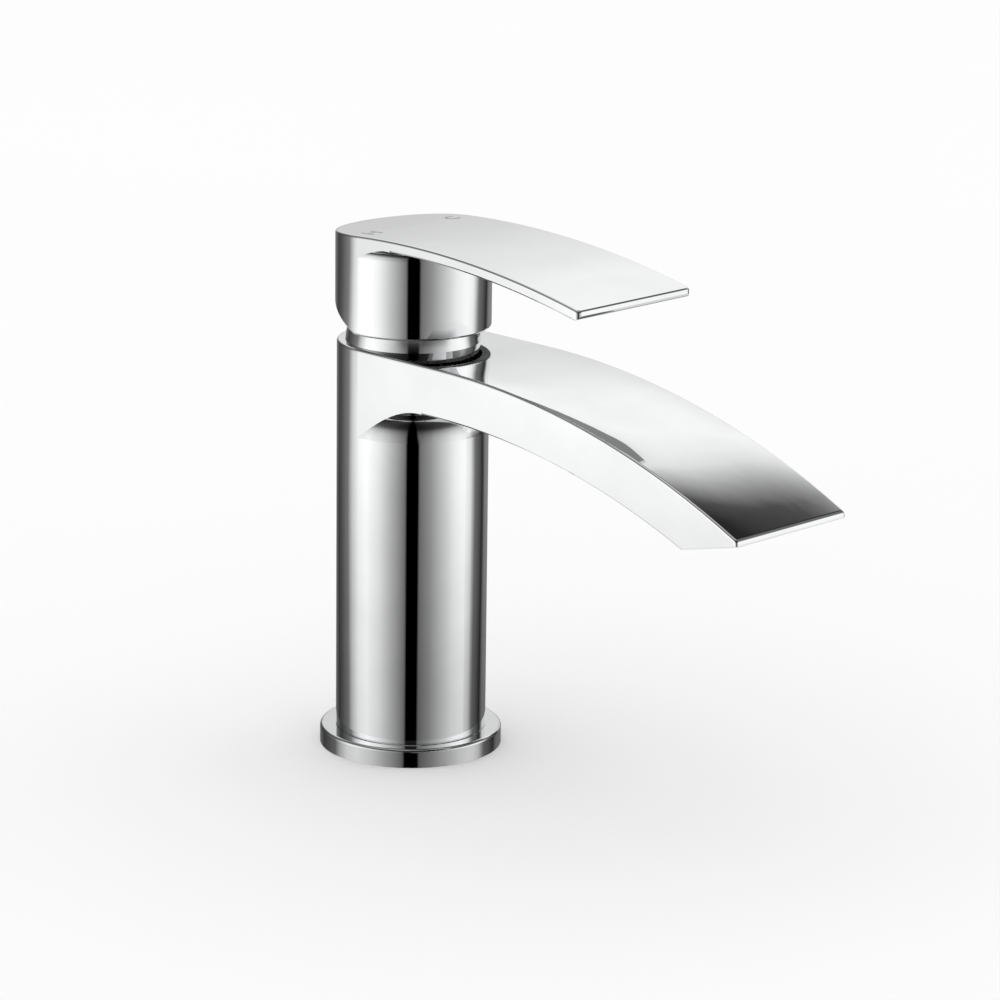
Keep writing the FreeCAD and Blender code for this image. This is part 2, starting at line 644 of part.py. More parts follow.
for (x, y), seal_name in zip(INLETS, seal_names):
    bore = rod(INLET_BORE_RADIUS, SEAT - 1.0, FIXED_DISC_LOW + 1.0, x, y)
    pocket = rod(seal_outer + CLOSE_FIT, SEAT - 1.0, SEAT + INLET_SEAL_DEPTH, x, y)
    cartridge_base = cartridge_base.cut(bore).cut(pocket)
    seal = rod(seal_outer, SEAT, SEAT + INLET_SEAL_DEPTH, x, y)
    save(seal.cut(rod(INLET_BORE_RADIUS, SEAT - 1.0, SEAT + INLET_SEAL_DEPTH + 1.0, x, y)), seal_name)
save(cartridge_base, "cartridge_base")

# Ceramic discs and the carrier that slides the upper one
fixed_disc = rod(recess_radius - RUNNING_GAP, FIXED_DISC_LOW, FIXED_DISC_TOP)
for side in (-1.0, 1.0):
    port_y = side * DISC_PORT_SPREAD
    port = rod(DISC_PORT_RADIUS, FIXED_DISC_LOW - 1.0, FIXED_DISC_TOP + 1.0, INLET_FORWARD, port_y)
    fixed_disc = fixed_disc.cut(port)
outlet_port = rod(DISC_OUTLET_RADIUS, FIXED_DISC_LOW - 1.0, FIXED_DISC_TOP + 1.0, -DISC_OUTLET_BACK)
save(fixed_disc.cut(outlet_port), "fixed_disc")
pocket_front = INLET_FORWARD - DISC_PORT_RADIUS - FACE_GAP
pocket_back = -DISC_OUTLET_BACK - DISC_OUTLET_RADIUS
pocket = block(
    pocket_back, pocket_front, DISC_PORT_SPREAD + DISC_PORT_RADIUS / 2.0,
    FIXED_DISC_TOP - 1.0, FIXED_DISC_TOP + DISC_POCKET_DEPTH,
)
save(rod(DISC_RADIUS, FIXED_DISC_TOP, CARRIER_LOW, DISC_X).cut(pocket), "moving_disc")
stem_half = STEM_SQUARE / 2.0
slot_half = stem_half + RUNNING_GAP
tower_half = slot_half + CARRIER_SIDE
end_room = STEM_END_RADIUS + RUNNING_GAP
tower_top = CARRIER_TOP + CARRIER_TOWER
disc_carrier = rod(DISC_RADIUS, CARRIER_LOW, CARRIER_TOP, DISC_X)
disc_carrier = disc_carrier.fuse(
    block(-end_room - CARRIER_WALL, end_room + CARRIER_WALL, tower_half, CARRIER_TOP - 1.0, tower_top)
)
slot_floor = STEM_END - end_room - RUNNING_GAP
disc_carrier = disc_carrier.removeSplitter().cut(
    block(-end_room, end_room, slot_half, slot_floor, tower_top + 1.0)
)
save(disc_carrier, "disc_carrier")

# Spindle guide, its pin and the stem that rocks on it
arm_half = STEM_ARM_THICKNESS / 2.0
rise = STEM_ARM * (1.0 - math.cos(LIFT))
groove_top = max(STEM_END + rise + end_room, tower_top + RUNNING_GAP)
slot_front = max(
    (PIVOT - GUIDE_FLANGE_TOP) * math.tan(LIFT) + arm_half / math.cos(LIFT),
    STEM_BOSS_RADIUS,
) + GUIDE_SLOT_ROOM
slot_back = GUIDE_TOP * math.tan(LIFT) + stem_half / math.cos(LIFT) + GUIDE_SLOT_ROOM
spindle_guide = rod(GUIDE_FLANGE_RADIUS, GUIDE_LOW, GUIDE_FLANGE_TOP)
spindle_guide = spindle_guide.fuse(rod(GUIDE_RADIUS, GUIDE_LOW, GUIDE_HIGH)).removeSplitter()
groove_reach = GUIDE_FLANGE_RADIUS + 1.0
groove = block(-groove_reach, groove_reach, tower_half + RUNNING_GAP, GUIDE_LOW - 1.0, groove_top)
stem_slot = block(-slot_back, slot_front, slot_half, GUIDE_LOW - 1.0, GUIDE_HIGH + 1.0)
spindle_guide = spindle_guide.cut(groove).cut(stem_slot)
spindle_guide = spindle_guide.cut(cross_rod(PIN_RADIUS + CLOSE_FIT, GUIDE_RADIUS + 1.0, 0.0, PIVOT))
save(spindle_guide, "spindle_guide")
save(cross_rod(PIN_RADIUS, GUIDE_RADIUS - PIN_SETBACK, 0.0, PIVOT), "stem_pin")
stem = cross_rod(STEM_BOSS_RADIUS, stem_half, 0.0, PIVOT)
stem = stem.fuse(block(-stem_half, stem_half, stem_half, PIVOT, STEM_TOP))
stem = stem.fuse(block(-arm_half, arm_half, stem_half, STEM_END, PIVOT))
stem = stem.fuse(cross_rod(STEM_END_RADIUS, stem_half, 0.0, STEM_END)).removeSplitter()
stem = stem.cut(cross_rod(PIN_RADIUS + CLOSE_FIT, stem_half + 1.0, 0.0, PIVOT))
save(stem, "cartridge_stem")

# Handle: a hollow cap with a thin arched blade, cut away behind so that it can rock
HANDLE_CENTRE = (HANDLE_CREST, HANDLE_TOP - HANDLE_TOP_RADIUS)
blade_under = HANDLE_TOP_RADIUS - HANDLE_BLADE
back_x = -HANDLE_RADIUS - 2.0
crown_start = on_circle(HANDLE_CENTRE, HANDLE_TOP_RADIUS, back_x)
tip_top = on_circle(HANDLE_CENTRE, HANDLE_TOP_RADIUS, HANDLE_REACH)
tip_low = (HANDLE_REACH, tip_top[1] - HANDLE_TIP_HEIGHT)
tip_under = on_circle(HANDLE_CENTRE, blade_under, HANDLE_REACH - HANDLE_TIP_ROUND)
chord_x = tip_low[0] - tip_under[0]
chord_z = tip_low[1] - tip_under[1]
chord = math.hypot(chord_x, chord_z)
tip_round = (
    (tip_low[0] + tip_under[0]) / 2.0 + HANDLE_TIP_BULGE * chord_z / chord,
    (tip_low[1] + tip_under[1]) / 2.0 - HANDLE_TIP_BULGE * chord_x / chord,
)
mid_x = HANDLE_REACH / 2.0
blade_root = on_circle(HANDLE_CENTRE, blade_under, 0.0)
blade_start = on_circle(HANDLE_CENTRE, HANDLE_TOP_RADIUS, 0.0)
blade = plate(
    [
        line(blade_root, blade_start),
        arc(blade_start, on_circle(HANDLE_CENTRE, HANDLE_TOP_RADIUS, mid_x), tip_top),
        line(tip_top, tip_low),
        arc(tip_low, tip_round, tip_under),
        arc(tip_under, on_circle(HANDLE_CENTRE, blade_under, mid_x), blade_root),
    ],
    HANDLE_RADIUS,
)
plan = block(0.0, HANDLE_REACH, HANDLE_RADIUS, HANDLE_LOW, HANDLE_TOP + 1.0)
plan = plan.makeFillet(
    HANDLE_CORNER,
    edges_where(plan, lambda p: p.x > HANDLE_REACH - 0.01 and abs(p.y) > HANDLE_RADIUS - 0.01),
)
blade = blade.common(plan)
front_x = HANDLE_RADIUS + 2.0
crown_end = on_circle(HANDLE_CENTRE, HANDLE_TOP_RADIUS, front_x)
under_crown = plate(
    [
        line((back_x, HANDLE_LOW), crown_start),
        arc(crown_start, on_circle(HANDLE_CENTRE, HANDLE_TOP_RADIUS, 0.0), crown_end),
        line(crown_end, (front_x, HANDLE_LOW)),
        line((front_x, HANDLE_LOW), (back_x, HANDLE_LOW)),
    ],
    HANDLE_RADIUS + 1.0,
)
cap = rod(HANDLE_RADIUS, HANDLE_LOW, HANDLE_TOP + 1.0).common(under_crown)
handle = cap.fuse(blade).removeSplitter()


def on_handle_top(point):
    """Whether a point lies on the outer edge of the handle's top."""
    at_tip = point.x > HANDLE_REACH - HANDLE_CORNER
    at_side = abs(point.y) > HANDLE_RADIUS - 0.01
    distance = math.hypot(point.x - HANDLE_CENTRE[0], point.z - HANDLE_CENTRE[1])
    return distance > HANDLE_TOP_RADIUS - 0.02 and (point.x < 0.0 or at_side or at_tip)


upper = edges_where(handle, on_handle_top)
handle = handle.makeFillet(HANDLE_EDGE, upper)
relief = RELIEF_START
relief_rise = (HANDLE_RADIUS + 10.0) * math.tan(LIFT)
relief_back = -relief - HANDLE_RADIUS - 10.0
handle = handle.cut(
    plate(
        [
            line((-relief, HANDLE_LOW), (relief_back, HANDLE_LOW + relief_rise)),
            line((relief_back, HANDLE_LOW + relief_rise), (relief_back, HANDLE_LOW - 5.0)),
            line((relief_back, HANDLE_LOW - 5.0), (-relief, HANDLE_LOW - 5.0)),
            line((-relief, HANDLE_LOW - 5.0), (-relief, HANDLE_LOW)),
        ],
        HANDLE_RADIUS + 1.0,
    )
)
lower = edges_where(
    handle,
    lambda p: p.z < PIVOT + 20.0 and math.hypot(p.x, p.y) > HANDLE_RADIUS - 0.05
    and (p.z < HANDLE_LOW + 0.01 or p.z < HANDLE_LOW + (-relief - p.x) * math.tan(LIFT) + 0.05),
)
handle = handle.makeFillet(HANDLE_EDGE, lower)
blade_bevel = root_length(HANDLE_RADIUS, HANDLE_ROOT_FILLET) + HANDLE_BEVEL
for bevel in arched_bevel(
    HANDLE_CENTRE, blade_under, blade_bevel, HANDLE_REACH, HANDLE_RADIUS, HANDLE_BEVEL
):
    handle = handle.cut(bevel)
fillet_level = HANDLE_TOP - HANDLE_BLADE + CLOSE_FIT
handle = handle.fuse(
    root_fillet(HANDLE_RADIUS, HANDLE_ROOT_FILLET, fillet_level, HANDLE_RADIUS)
).removeSplitter()
hub_half = stem_half + CLOSE_FIT
hub_radius = hub_half * math.sqrt(2.0) + HUB_WALL
hub_low = GUIDE_HIGH + PIVOT_DEPTH + NUT_NECK_HEIGHT
screw_height = STEM_TOP - SCREW_DROP
rib_low = screw_height - HUB_RIB_HEIGHT / 2.0
cavity = rod(CAVITY_RADIUS, HANDLE_LOW - 5.0, ROOF)
cavity = cavity.cut(rod(hub_radius, hub_low, ROOF + 1.0))
cavity = cavity.cut(block(-CAVITY_RADIUS - 1.0, 0.0, HUB_RIB_WIDTH / 2.0, rib_low, ROOF + 1.0))
handle = handle.cut(cavity)
handle = handle.cut(block(-hub_half, hub_half, hub_half, hub_low - 1.0, STEM_TOP + END_PLAY))
screw_back = -stem_half - SCREW_LENGTH
plug_back = -HANDLE_RADIUS + PLUG_DEPTH
back_axis = V(-1, 0, 0)
handle = handle.cut(
    Part.makeCylinder(SCREW_RADIUS + CLOSE_FIT, HANDLE_RADIUS + 1.0, V(0, 0, screw_height), back_axis)
)
handle = handle.cut(
    Part.makeCylinder(PLUG_RADIUS + CLOSE_FIT, PLUG_DEPTH + 1.0, V(plug_back, 0, screw_height), back_axis)
)
save(handle, "handle")

# Grub screw that clamps the handle to the stem, and the plug that hides it
grub_screw = Part.makeCylinder(SCREW_RADIUS, SCREW_LENGTH, V(-stem_half, 0, screw_height), back_axis)
corners = []
for step in range(7):
    turn = math.radians(60.0 * step)
    size = SCREW_SOCKET / math.sqrt(3.0)
    corners.append(V(screw_back, size * math.cos(turn), screw_height + size * math.sin(turn)))
hexagon = Part.Face(Part.makePolygon(corners))
save(grub_screw.cut(hexagon.extrude(V(SCREW_SOCKET_DEPTH, 0, 0))), "grub_screw")
plug = Part.makeCylinder(PLUG_RADIUS, PLUG_DEPTH + 1.0, V(plug_back, 0, screw_height), back_axis)
save(plug.common(rod(HANDLE_RADIUS, rib_low - 5.0, HANDLE_TOP)), "screw_plug")

# Aerator, built upward from the outlet face
inner_radius = AERATOR_RADIUS - AERATOR_WALL
lip_high = AERATOR_RECESS + AERATOR_LIP_HEIGHT
screen_high = lip_high + SCREEN_THICKNESS
insert_high = screen_high + INSERT_THICKNESS
washer_high = insert_high + WASHER_THICKNESS
aerator_housing = ring(AERATOR_RADIUS, inner_radius, AERATOR_RECESS, insert_high)
lip_ring = ring(inner_radius + 0.1, inner_radius - AERATOR_LIP_WIDTH, AERATOR_RECESS, lip_high)
save(at_outlet(aerator_housing.fuse(lip_ring).removeSplitter()), "aerator_housing")
screen = rod(inner_radius - CLOSE_FIT, lip_high, screen_high)
rows = int((inner_radius - AERATOR_LIP_WIDTH) / SCREEN_PITCH) + 1
holes = []
for row in range(-rows, rows + 1):
    for column in range(-rows, rows + 1):
        x = (column + 0.5 * (row % 2)) * SCREEN_PITCH
        y = row * SCREEN_PITCH * math.sqrt(0.75)
        if math.hypot(x, y) < inner_radius - AERATOR_LIP_WIDTH - SCREEN_HOLE_RADIUS:
            holes.append(rod(SCREEN_HOLE_RADIUS, lip_high - 1.0, screen_high + 1.0, x, y))
save(at_outlet(screen.cut(Part.makeCompound(holes))), "aerator_screen")
insert = rod(inner_radius - CLOSE_FIT, screen_high, insert_high)
jets = []
for step in range(INSERT_HOLES):
    turn = 2.0 * math.pi * step / INSERT_HOLES
    jet_circle = inner_radius - AERATOR_LIP_WIDTH - 2.0 * INSERT_HOLE_RADIUS
    jets.append(rod(INSERT_HOLE_RADIUS, screen_high - 1.0, insert_high + 1.0,
                    jet_circle * math.cos(turn), jet_circle * math.sin(turn)))
save(at_outlet(insert.cut(Part.makeCompound(jets))), "aerator_insert")
save(at_outlet(ring(AERATOR_RADIUS, OUTLET_BORE_RADIUS, insert_high, washer_high)), "aerator_washer")
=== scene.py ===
"""Looks of a single-lever basin mixer tap: its finishes, its small dressing pieces and a plain studio."""
import logging
import math
from dataclasses import dataclass, field
from enum import Enum
from typing import Dict, List, Mapping, Optional, Sequence, Tuple, Union

import bmesh
import bpy
from mathutils import Matrix, Vector


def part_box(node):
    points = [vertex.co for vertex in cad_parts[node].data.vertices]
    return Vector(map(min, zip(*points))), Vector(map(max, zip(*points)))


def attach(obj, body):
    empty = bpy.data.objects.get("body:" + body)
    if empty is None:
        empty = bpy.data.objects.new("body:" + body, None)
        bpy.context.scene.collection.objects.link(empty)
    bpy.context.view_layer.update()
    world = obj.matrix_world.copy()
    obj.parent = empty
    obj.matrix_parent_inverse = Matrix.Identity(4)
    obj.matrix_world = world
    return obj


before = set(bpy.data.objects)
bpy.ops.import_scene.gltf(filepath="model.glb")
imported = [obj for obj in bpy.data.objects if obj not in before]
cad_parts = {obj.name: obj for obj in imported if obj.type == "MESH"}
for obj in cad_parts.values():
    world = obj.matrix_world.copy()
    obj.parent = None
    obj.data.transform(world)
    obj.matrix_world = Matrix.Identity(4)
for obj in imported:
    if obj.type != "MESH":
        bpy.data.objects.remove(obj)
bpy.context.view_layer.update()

log = logging.getLogger("basin_tap")

Colour = Tuple[float, float, float]
Span = Tuple[float, float]
Stops = Tuple[Span, ...]
Socket = bpy.types.NodeSocket
Value = Union[float, Colour, Socket]

MM = 0.001
DEGREES = 180.0 / math.pi
ORIGIN = (0.0, 0.0, 0.0)
UPRIGHT = (0.0, 0.0, 1.0)
WHITE = (1.0, 1.0, 1.0, 1.0)
NOISE_SPAN = (0.3, 0.7)
SHARP_ANGLE = math.radians(35.0)
WELD_DISTANCE = 1.0e-6

# Turns and heights of the tent, in degrees, at the ends of its lists of levels.
FULL_TURN = (-180.0, 180.0)
LEFT_TURN = (-180.0, 0.0)
RIGHT_TURN = (0.0, 180.0)
ALL_HEIGHTS = (-90.0, 90.0)
SKY_HEIGHTS = (0.0, 90.0)
LOW_SKY_HEIGHTS = (0.0, 60.0)
HAZE_HEIGHTS = (-20.0, 90.0)
GAIN_HEIGHTS = (-90.0, 60.0)


class Body(Enum):
    """Bodies that the small pieces ride on."""

    TAP = "tap"
    LEVER = "lever"


class Water(Enum):
    """Side of the tap that a piece belongs to, with the sign of its Y."""

    HOT = -1
    COLD = 1


class Slot(Enum):
    """Material slots of the record that the small pieces take their finish from."""

    BRASS = "turned_brass"
    MARK = "grey_plastic"


class Mix(Enum):
    """Kinds of value that are mixed, with the numbers of their two inputs and of their output."""

    FLOAT = (2, 3, 0)
    VECTOR = (4, 5, 1)
    RGBA = (6, 7, 2)


class Curve(Enum):
    """Ways to stretch a value to a new range."""

    LINEAR = "LINEAR"
    SMOOTH = "SMOOTHSTEP"


class ShaderTree:
    """A node tree under construction, with short ways to add and join nodes."""

    def __init__(self, tree: bpy.types.NodeTree) -> None:
        """Empties a tree so that it can be filled.

        Args:
            tree: The node tree of a material.
        """
        self.tree = tree
        tree.nodes.clear()

    def add(
        self,
        kind: str,
        inputs: Optional[Mapping[Union[str, int], Value]] = None,
        **settings: object,
    ) -> bpy.types.Node:
        """Adds one node.

        Args:
            kind: The node's type, without its ShaderNode prefix.
            inputs: Values or sockets for the node's inputs, by name or number.
            settings: Values of the node's own properties.

        Returns:
            The new node.
        """
        node = self.tree.nodes.new("ShaderNode" + kind)
        for name, value in settings.items():
            setattr(node, name, value)
        self.feed(node, inputs or {})
        return node

    def feed(self, node: bpy.types.Node, values: Mapping[Union[str, int], Value]) -> None:
        """Sets or links the inputs of a node.

        Args:
            node: The node.
            values: Numbers, colours or sockets, by the input's name or number.
        """
        for key, value in values.items():
            target = node.inputs[key]
            if isinstance(value, Socket):
                self.tree.links.new(value, target)
            elif isinstance(value, tuple) and target.type == "RGBA":
                target.default_value = (*value, 1.0)
            else:
                target.default_value = value

    def show(self, surface: bpy.types.Node) -> None:
        """Ends the tree with the shader that is seen.

        Args:
            surface: The shader node.
        """
        self.add("OutputMaterial", {"Surface": surface.outputs[0]})

    def math(self, operation: str, first: Value, second: Value = 0.0) -> Socket:
        """Adds a Math node.

        Args:
            operation: The node's operation.
            first: First value or socket.
            second: Second value or socket.

        Returns:
            The node's output.
        """
        return self.add("Math", {0: first, 1: second}, operation=operation).outputs[0]

    def place(self, scale: Colour = (1.0, 1.0, 1.0), turn: float = 0.0) -> Socket:
        """Adds the piece's own coordinates.

        Args:
            scale: Scale of the three axes.
            turn: Turn about the upright axis, in radians.

        Returns:
            The scaled and turned coordinates.
        """
        coordinates = self.add("TexCoord").outputs["Object"]
        mapped = self.add("Mapping", {"Vector": coordinates, "Scale": scale, "Rotation": (0.0, 0.0, turn)})
        return mapped.outputs[0]

    def facing(self) -> Socket:
        """Adds how far a face looks up.

        Returns:
            A value of 1 on faces that look up, 0 on upright ones and -1 on those that look down.
        """
        normal = self.add("TexCoord").outputs["Normal"]
        return self.add("SeparateXYZ", {0: normal}).outputs[2]

    def noise(self, where: Socket, scale: float = 1.0, detail: float = 2.0) -> Socket:
        """Adds a noise texture.

        Args:
            where: Coordinates.
            scale: Waves per unit of the coordinates.
            detail: Octaves.

        Returns:
            The noise value.
        """
        return self.add("TexNoise", {"Vector": where, "Scale": scale, "Detail": detail}).outputs[0]

    def span(
        self,
        value: Socket,
        low: float,
        high: float,
        reach: Span = NOISE_SPAN,
        curve: Curve = Curve.LINEAR,
    ) -> Socket:
        """Stretches a value to a new range.

        Args:
            value: The value to stretch.
            low: Result at the start of the reach.
            high: Result at its end.
            reach: Values that give the low and the high result.
            curve: Way from one to the other.

        Returns:
            The stretched value.
        """
        start, end = reach
        inputs = {"Value": value, "From Min": start, "From Max": end, "To Min": low, "To Max": high}
        return self.add("MapRange", inputs, interpolation_type=curve.value).outputs[0]

    def tint(self, value: Socket, first: Colour, second: Colour) -> Socket:
        """Fades between two colours.

        Args:
            value: The noise that says where to fade.
            first: Colour at the low end of the noise.
            second: Colour at its high end.

        Returns:
            The colour.
        """
        ramp = self.add("ValToRGB", {0: value})
        for element, at, colour in zip(ramp.color_ramp.elements, NOISE_SPAN, (first, second)):
            element.position = at
            element.color = (*colour, 1.0)
        return ramp.outputs[0]

    def levels(self, value: Socket, stops: Stops, reach: Span) -> Socket:
        """Reads a level from a list of stops.

        Args:
            value: The value to look up, in the stops' own unit.
            stops: Pairs of value and level, in rising order.
            reach: Values at the two ends of the list.

        Returns:
            The level.
        """
        low, high = reach
        ramp = self.add("ValToRGB", {0: self.span(value, 0.0, 1.0, reach)})
        elements = ramp.color_ramp.elements
        while len(elements) < len(stops):
            elements.new(0.5)
        for index, (at, level) in enumerate(stops):
            elements[index].position = (at - low) / (high - low)
            elements[index].color = (level, level, level, 1.0)
        return ramp.outputs[0]

    def blend(self, factor: Socket, first: Value, second: Value, kind: Mix = Mix.FLOAT) -> Socket:
        """Mixes two values.

        Args:
            factor: Share of the second value.
            first: Value or socket at 0.
            second: Value or socket at 1.
            kind: Kind of the values.

        Returns:
            The mixed value.
        """
        first_input, second_input, output = kind.value
        inputs = {0: factor, first_input: first, second_input: second}
        return self.add("Mix", inputs, data_type=kind.name).outputs[output]

    def bump(self, height: Socket, depth: float = 1.0) -> Socket:
        """Turns a height into a normal.

        Args:
            height: Height, in units of the depth.
            depth: Depth of the relief, in metres.

        Returns:
            The normal.
        """
        return self.add("Bump", {"Height": height, "Strength": 1.0, "Distance": depth}).outputs[0]


def new_material(name: str) -> Tuple[bpy.types.Material, ShaderTree]:
    """Makes a material without a shader.

    Args:
        name: Name of the material.

    Returns:
        The material and its empty tree.
    """
    made = bpy.data.materials.new(name)
    made.use_nodes = True
    return made, ShaderTree(made.node_tree)


def new_object(mesh: bmesh.types.BMesh, name: str, material: bpy.types.Material) -> bpy.types.Object:
    """Makes an object of a finished mesh.

    Args:
        mesh: The mesh; it is freed here.
        name: Name of the object.
        material: Material of all of its faces.

    Returns:
        The new object.
    """
    data = bpy.data.meshes.new(name)
    mesh.to_mesh(data)
    mesh.free()
    data.materials.append(material)
    made = bpy.data.objects.new(name, data)
    bpy.context.scene.collection.objects.link(made)
    return made


@dataclass(frozen=True)
class Finish:
    """A surface finish that makes its own material.

    Attributes:
        name: Name of the material.
    """

    name: str

    def material(self) -> bpy.types.Material:
        """Gives the finish's material, made on first use.

        Returns:
            The material.
        """
        found = bpy.data.materials.get(self.name)
        if found is not None:
            return found
        made, shader = new_material(self.name)
        surface = shader.add("BsdfPrincipled", self.paint(shader))
        shader.show(surface)
        return made

    def paint(self, shader: ShaderTree) -> Dict[str, Value]:
        """Makes what the finish's shader is fed with.

        Args:
            shader: The material's tree.

        Returns:
            Values and sockets, by the input's name.
        """
        raise NotImplementedError


@dataclass(frozen=True)
class BareMetalAndShadeZone:
    """Part of a plated piece inside a radius and under a height, with colours of its own: the bare machined
    metal on the tap body and flange, and dark grey painted shade inside and under the handle.

    Attributes:
        radius: Radius of the part.
        top: Height of its upper end.
        first: Colour of the part: the bare metal, and on the handle a dark grey that is painted shade.
        second: Colour that the first varies to.
        rough_low: Least roughness of the metal.
        rough_high: Greatest roughness of the metal.
        under: Radius inside which faces that look down belong to it.
        down: How far down these faces look at least.
        cut: Scale of the tool marks along the three axes.
    """

    radius: float
    top: float
    first: Colour = (0.62, 0.45, 0.21)
    second: Colour = (0.74, 0.56, 0.29)
    rough_low: float = 0.27
    rough_high: float = 0.41
    under: float = 0.0
    down: float = -0.3
    cut: Colour = (160.0, 160.0, 2600.0)

    def inside(self, shader: ShaderTree, where: Socket) -> Socket:
        """Marks the part of bare metal and painted shade.

        Args:
            shader: The material's tree.
            where: The piece's coordinates.

        Returns:
            A value of 1 in the part and 0 elsewhere.
        """
        x, y, z = shader.add("SeparateXYZ", {0: where}).outputs
        flat = shader.add("CombineXYZ", {0: x, 1: y}).outputs[0]
        radius = shader.add("VectorMath", {0: flat}, operation="LENGTH").outputs["Value"]
        near = shader.math("LESS_THAN", radius, self.radius)
        low = shader.math("MULTIPLY", near, shader.math("LESS_THAN", z, self.top))
        within = shader.math("LESS_THAN", radius, self.under)
        below = shader.math("MULTIPLY", within, shader.math("LESS_THAN", shader.facing(), self.down))
        return shader.math("MAXIMUM", low, below)


@dataclass(frozen=True)
class RollOff:
    """Slight fall of a flat top towards its long edges, as polishing leaves it.

    Attributes:
        start: Where it begins along the piece.
        full: Where it is full.
        fade: Where it begins to fade.
        end: Where it has faded.
        left_over: Share that is left there.
        edge: Half the width of the piece.
        slope: Slope at the edge.
        power: Power of the curve from the middle to the edge.
        faces: How far up the faces look that have none of it, and those that have all of it.
    """

    start: float
    full: float
    fade: float
    end: float
    left_over: float
    edge: float
    slope: float
    power: float = 4.0
    faces: Span = (0.55, 0.7)

    def height(self, shader: ShaderTree, where: Socket) -> Socket:
        """Gives the fall as a height.

        Args:
            shader: The material's tree.
            where: The piece's coordinates.

        Returns:
            The height, in metres, 0 in the middle and negative at the edges.
        """
        along, across, _ = shader.add("SeparateXYZ", {0: where}).outputs
        away = shader.math("MULTIPLY", shader.math("ABSOLUTE", across), 1.0 / self.edge)
        depth = self.edge * self.slope / self.power
        fall = shader.math("MULTIPLY", shader.math("POWER", away, self.power), -depth)
        begun = shader.span(along, 0.0, 1.0, (self.start, self.full), Curve.SMOOTH)
        faded = shader.span(along, 1.0, self.left_over, (self.fade, self.end), Curve.SMOOTH)
        return shader.math("MULTIPLY", fall, shader.math("MULTIPLY", begun, faded))

    def upward(self, shader: ShaderTree) -> Socket:
        """Marks the faces that the fall is kept to.

        Args:
            shader: The material's tree.

        Returns:
            A value of 1 on faces that look up and 0 on the sides.
        """
        return shader.span(shader.facing(), 0.0, 1.0, self.faces)


@dataclass(frozen=True)
class Chrome(Finish):
    """Polished chromium plate with a faint polishing haze and the slight waviness of plating.

    Attributes:
        dull: Colour where the plate is dullest.
        bright: Colour where it is brightest.
        rough_low: Least roughness.
        rough_high: Greatest roughness.
        wave: Waves of the plating per metre.
        wave_depth: Depth of the waves.
        polish: Scale of the polishing marks along the three axes.
        zone: Part with colours of its own: bare metal, and painted shade under the handle.
        roll: Fall of the top towards its edges.
    """

    dull: Colour = (0.87, 0.875, 0.88)
    bright: Colour = (0.92, 0.925, 0.93)
    rough_low: float = 0.018
    rough_high: float = 0.04
    wave: float = 60.0
    wave_depth: float = 1.2e-5
    polish: Colour = (90.0, 90.0, 1400.0)
    zone: Optional[BareMetalAndShadeZone] = None
    roll: Optional[RollOff] = None

    def paint(self, shader: ShaderTree) -> Dict[str, Value]:
        """Makes what the finish's shader is fed with.

        Args:
            shader: The material's tree.

        Returns:
            Values and sockets, by the input's name.
        """
        where = shader.place()
        haze = shader.noise(where, self.wave, detail=3.0)
        marks = shader.noise(shader.place(self.polish))
        both = shader.math("MULTIPLY", shader.math("ADD", haze, marks), 0.5)
        colour = shader.tint(haze, self.dull, self.bright)
        rough = shader.span(both, self.rough_low, self.rough_high)
        height = shader.math("MULTIPLY", haze, self.wave_depth)
        normal = shader.bump(height)
        if self.roll is not None:
            rolled = shader.bump(shader.math("ADD", height, self.roll.height(shader, where)))
            normal = shader.blend(self.roll.upward(shader), normal, rolled, Mix.VECTOR)
        # The zone's colour is bare metal on the body and flange; on the handle its dark grey is painted
        # shade.
        if self.zone is not None:
            inside = self.zone.inside(shader, where)
            cut = shader.noise(shader.place(self.zone.cut), detail=1.0)
            bare_metal_and_shade = shader.tint(cut, self.zone.first, self.zone.second)
            colour = shader.blend(inside, colour, bare_metal_and_shade, Mix.RGBA)
            rough = shader.blend(inside, rough, shader.span(cut, self.zone.rough_low, self.zone.rough_high))
        return {"Metallic": 1.0, "Base Color": colour, "Roughness": rough, "Normal": normal}


@dataclass(frozen=True)
class Turned(Finish):
    """Machined metal with the fine rings that a lathe leaves.

    Attributes:
        first: Colour of the metal.
        second: Colour that the first varies to.
        rough_low: Least roughness.
        rough_high: Greatest roughness.
        ring: Rings per metre.
        across: Breaks in the rings per metre.
        stain: Stains per metre.
        relief: Depth of the rings.
    """

    first: Colour = (0.66, 0.48, 0.22)
    second: Colour = (0.78, 0.60, 0.31)
    rough_low: float = 0.22
    rough_high: float = 0.36
    ring: float = 2400.0
    across: float = 140.0
    stain: float = 130.0
    relief: float = 6.0e-6

    def paint(self, shader: ShaderTree) -> Dict[str, Value]:
        """Makes what the finish's shader is fed with.

        Args:
            shader: The material's tree.

        Returns:
            Values and sockets, by the input's name.
        """
        rings = shader.noise(shader.place((self.across, self.across, self.ring)))
        stain = shader.noise(shader.place(), self.stain, detail=3.0)
        return {
            "Metallic": 1.0,
            "Base Color": shader.tint(stain, self.first, self.second),
            "Roughness": shader.span(rings, self.rough_low, self.rough_high),
            "Normal": shader.bump(rings, self.relief),
        }


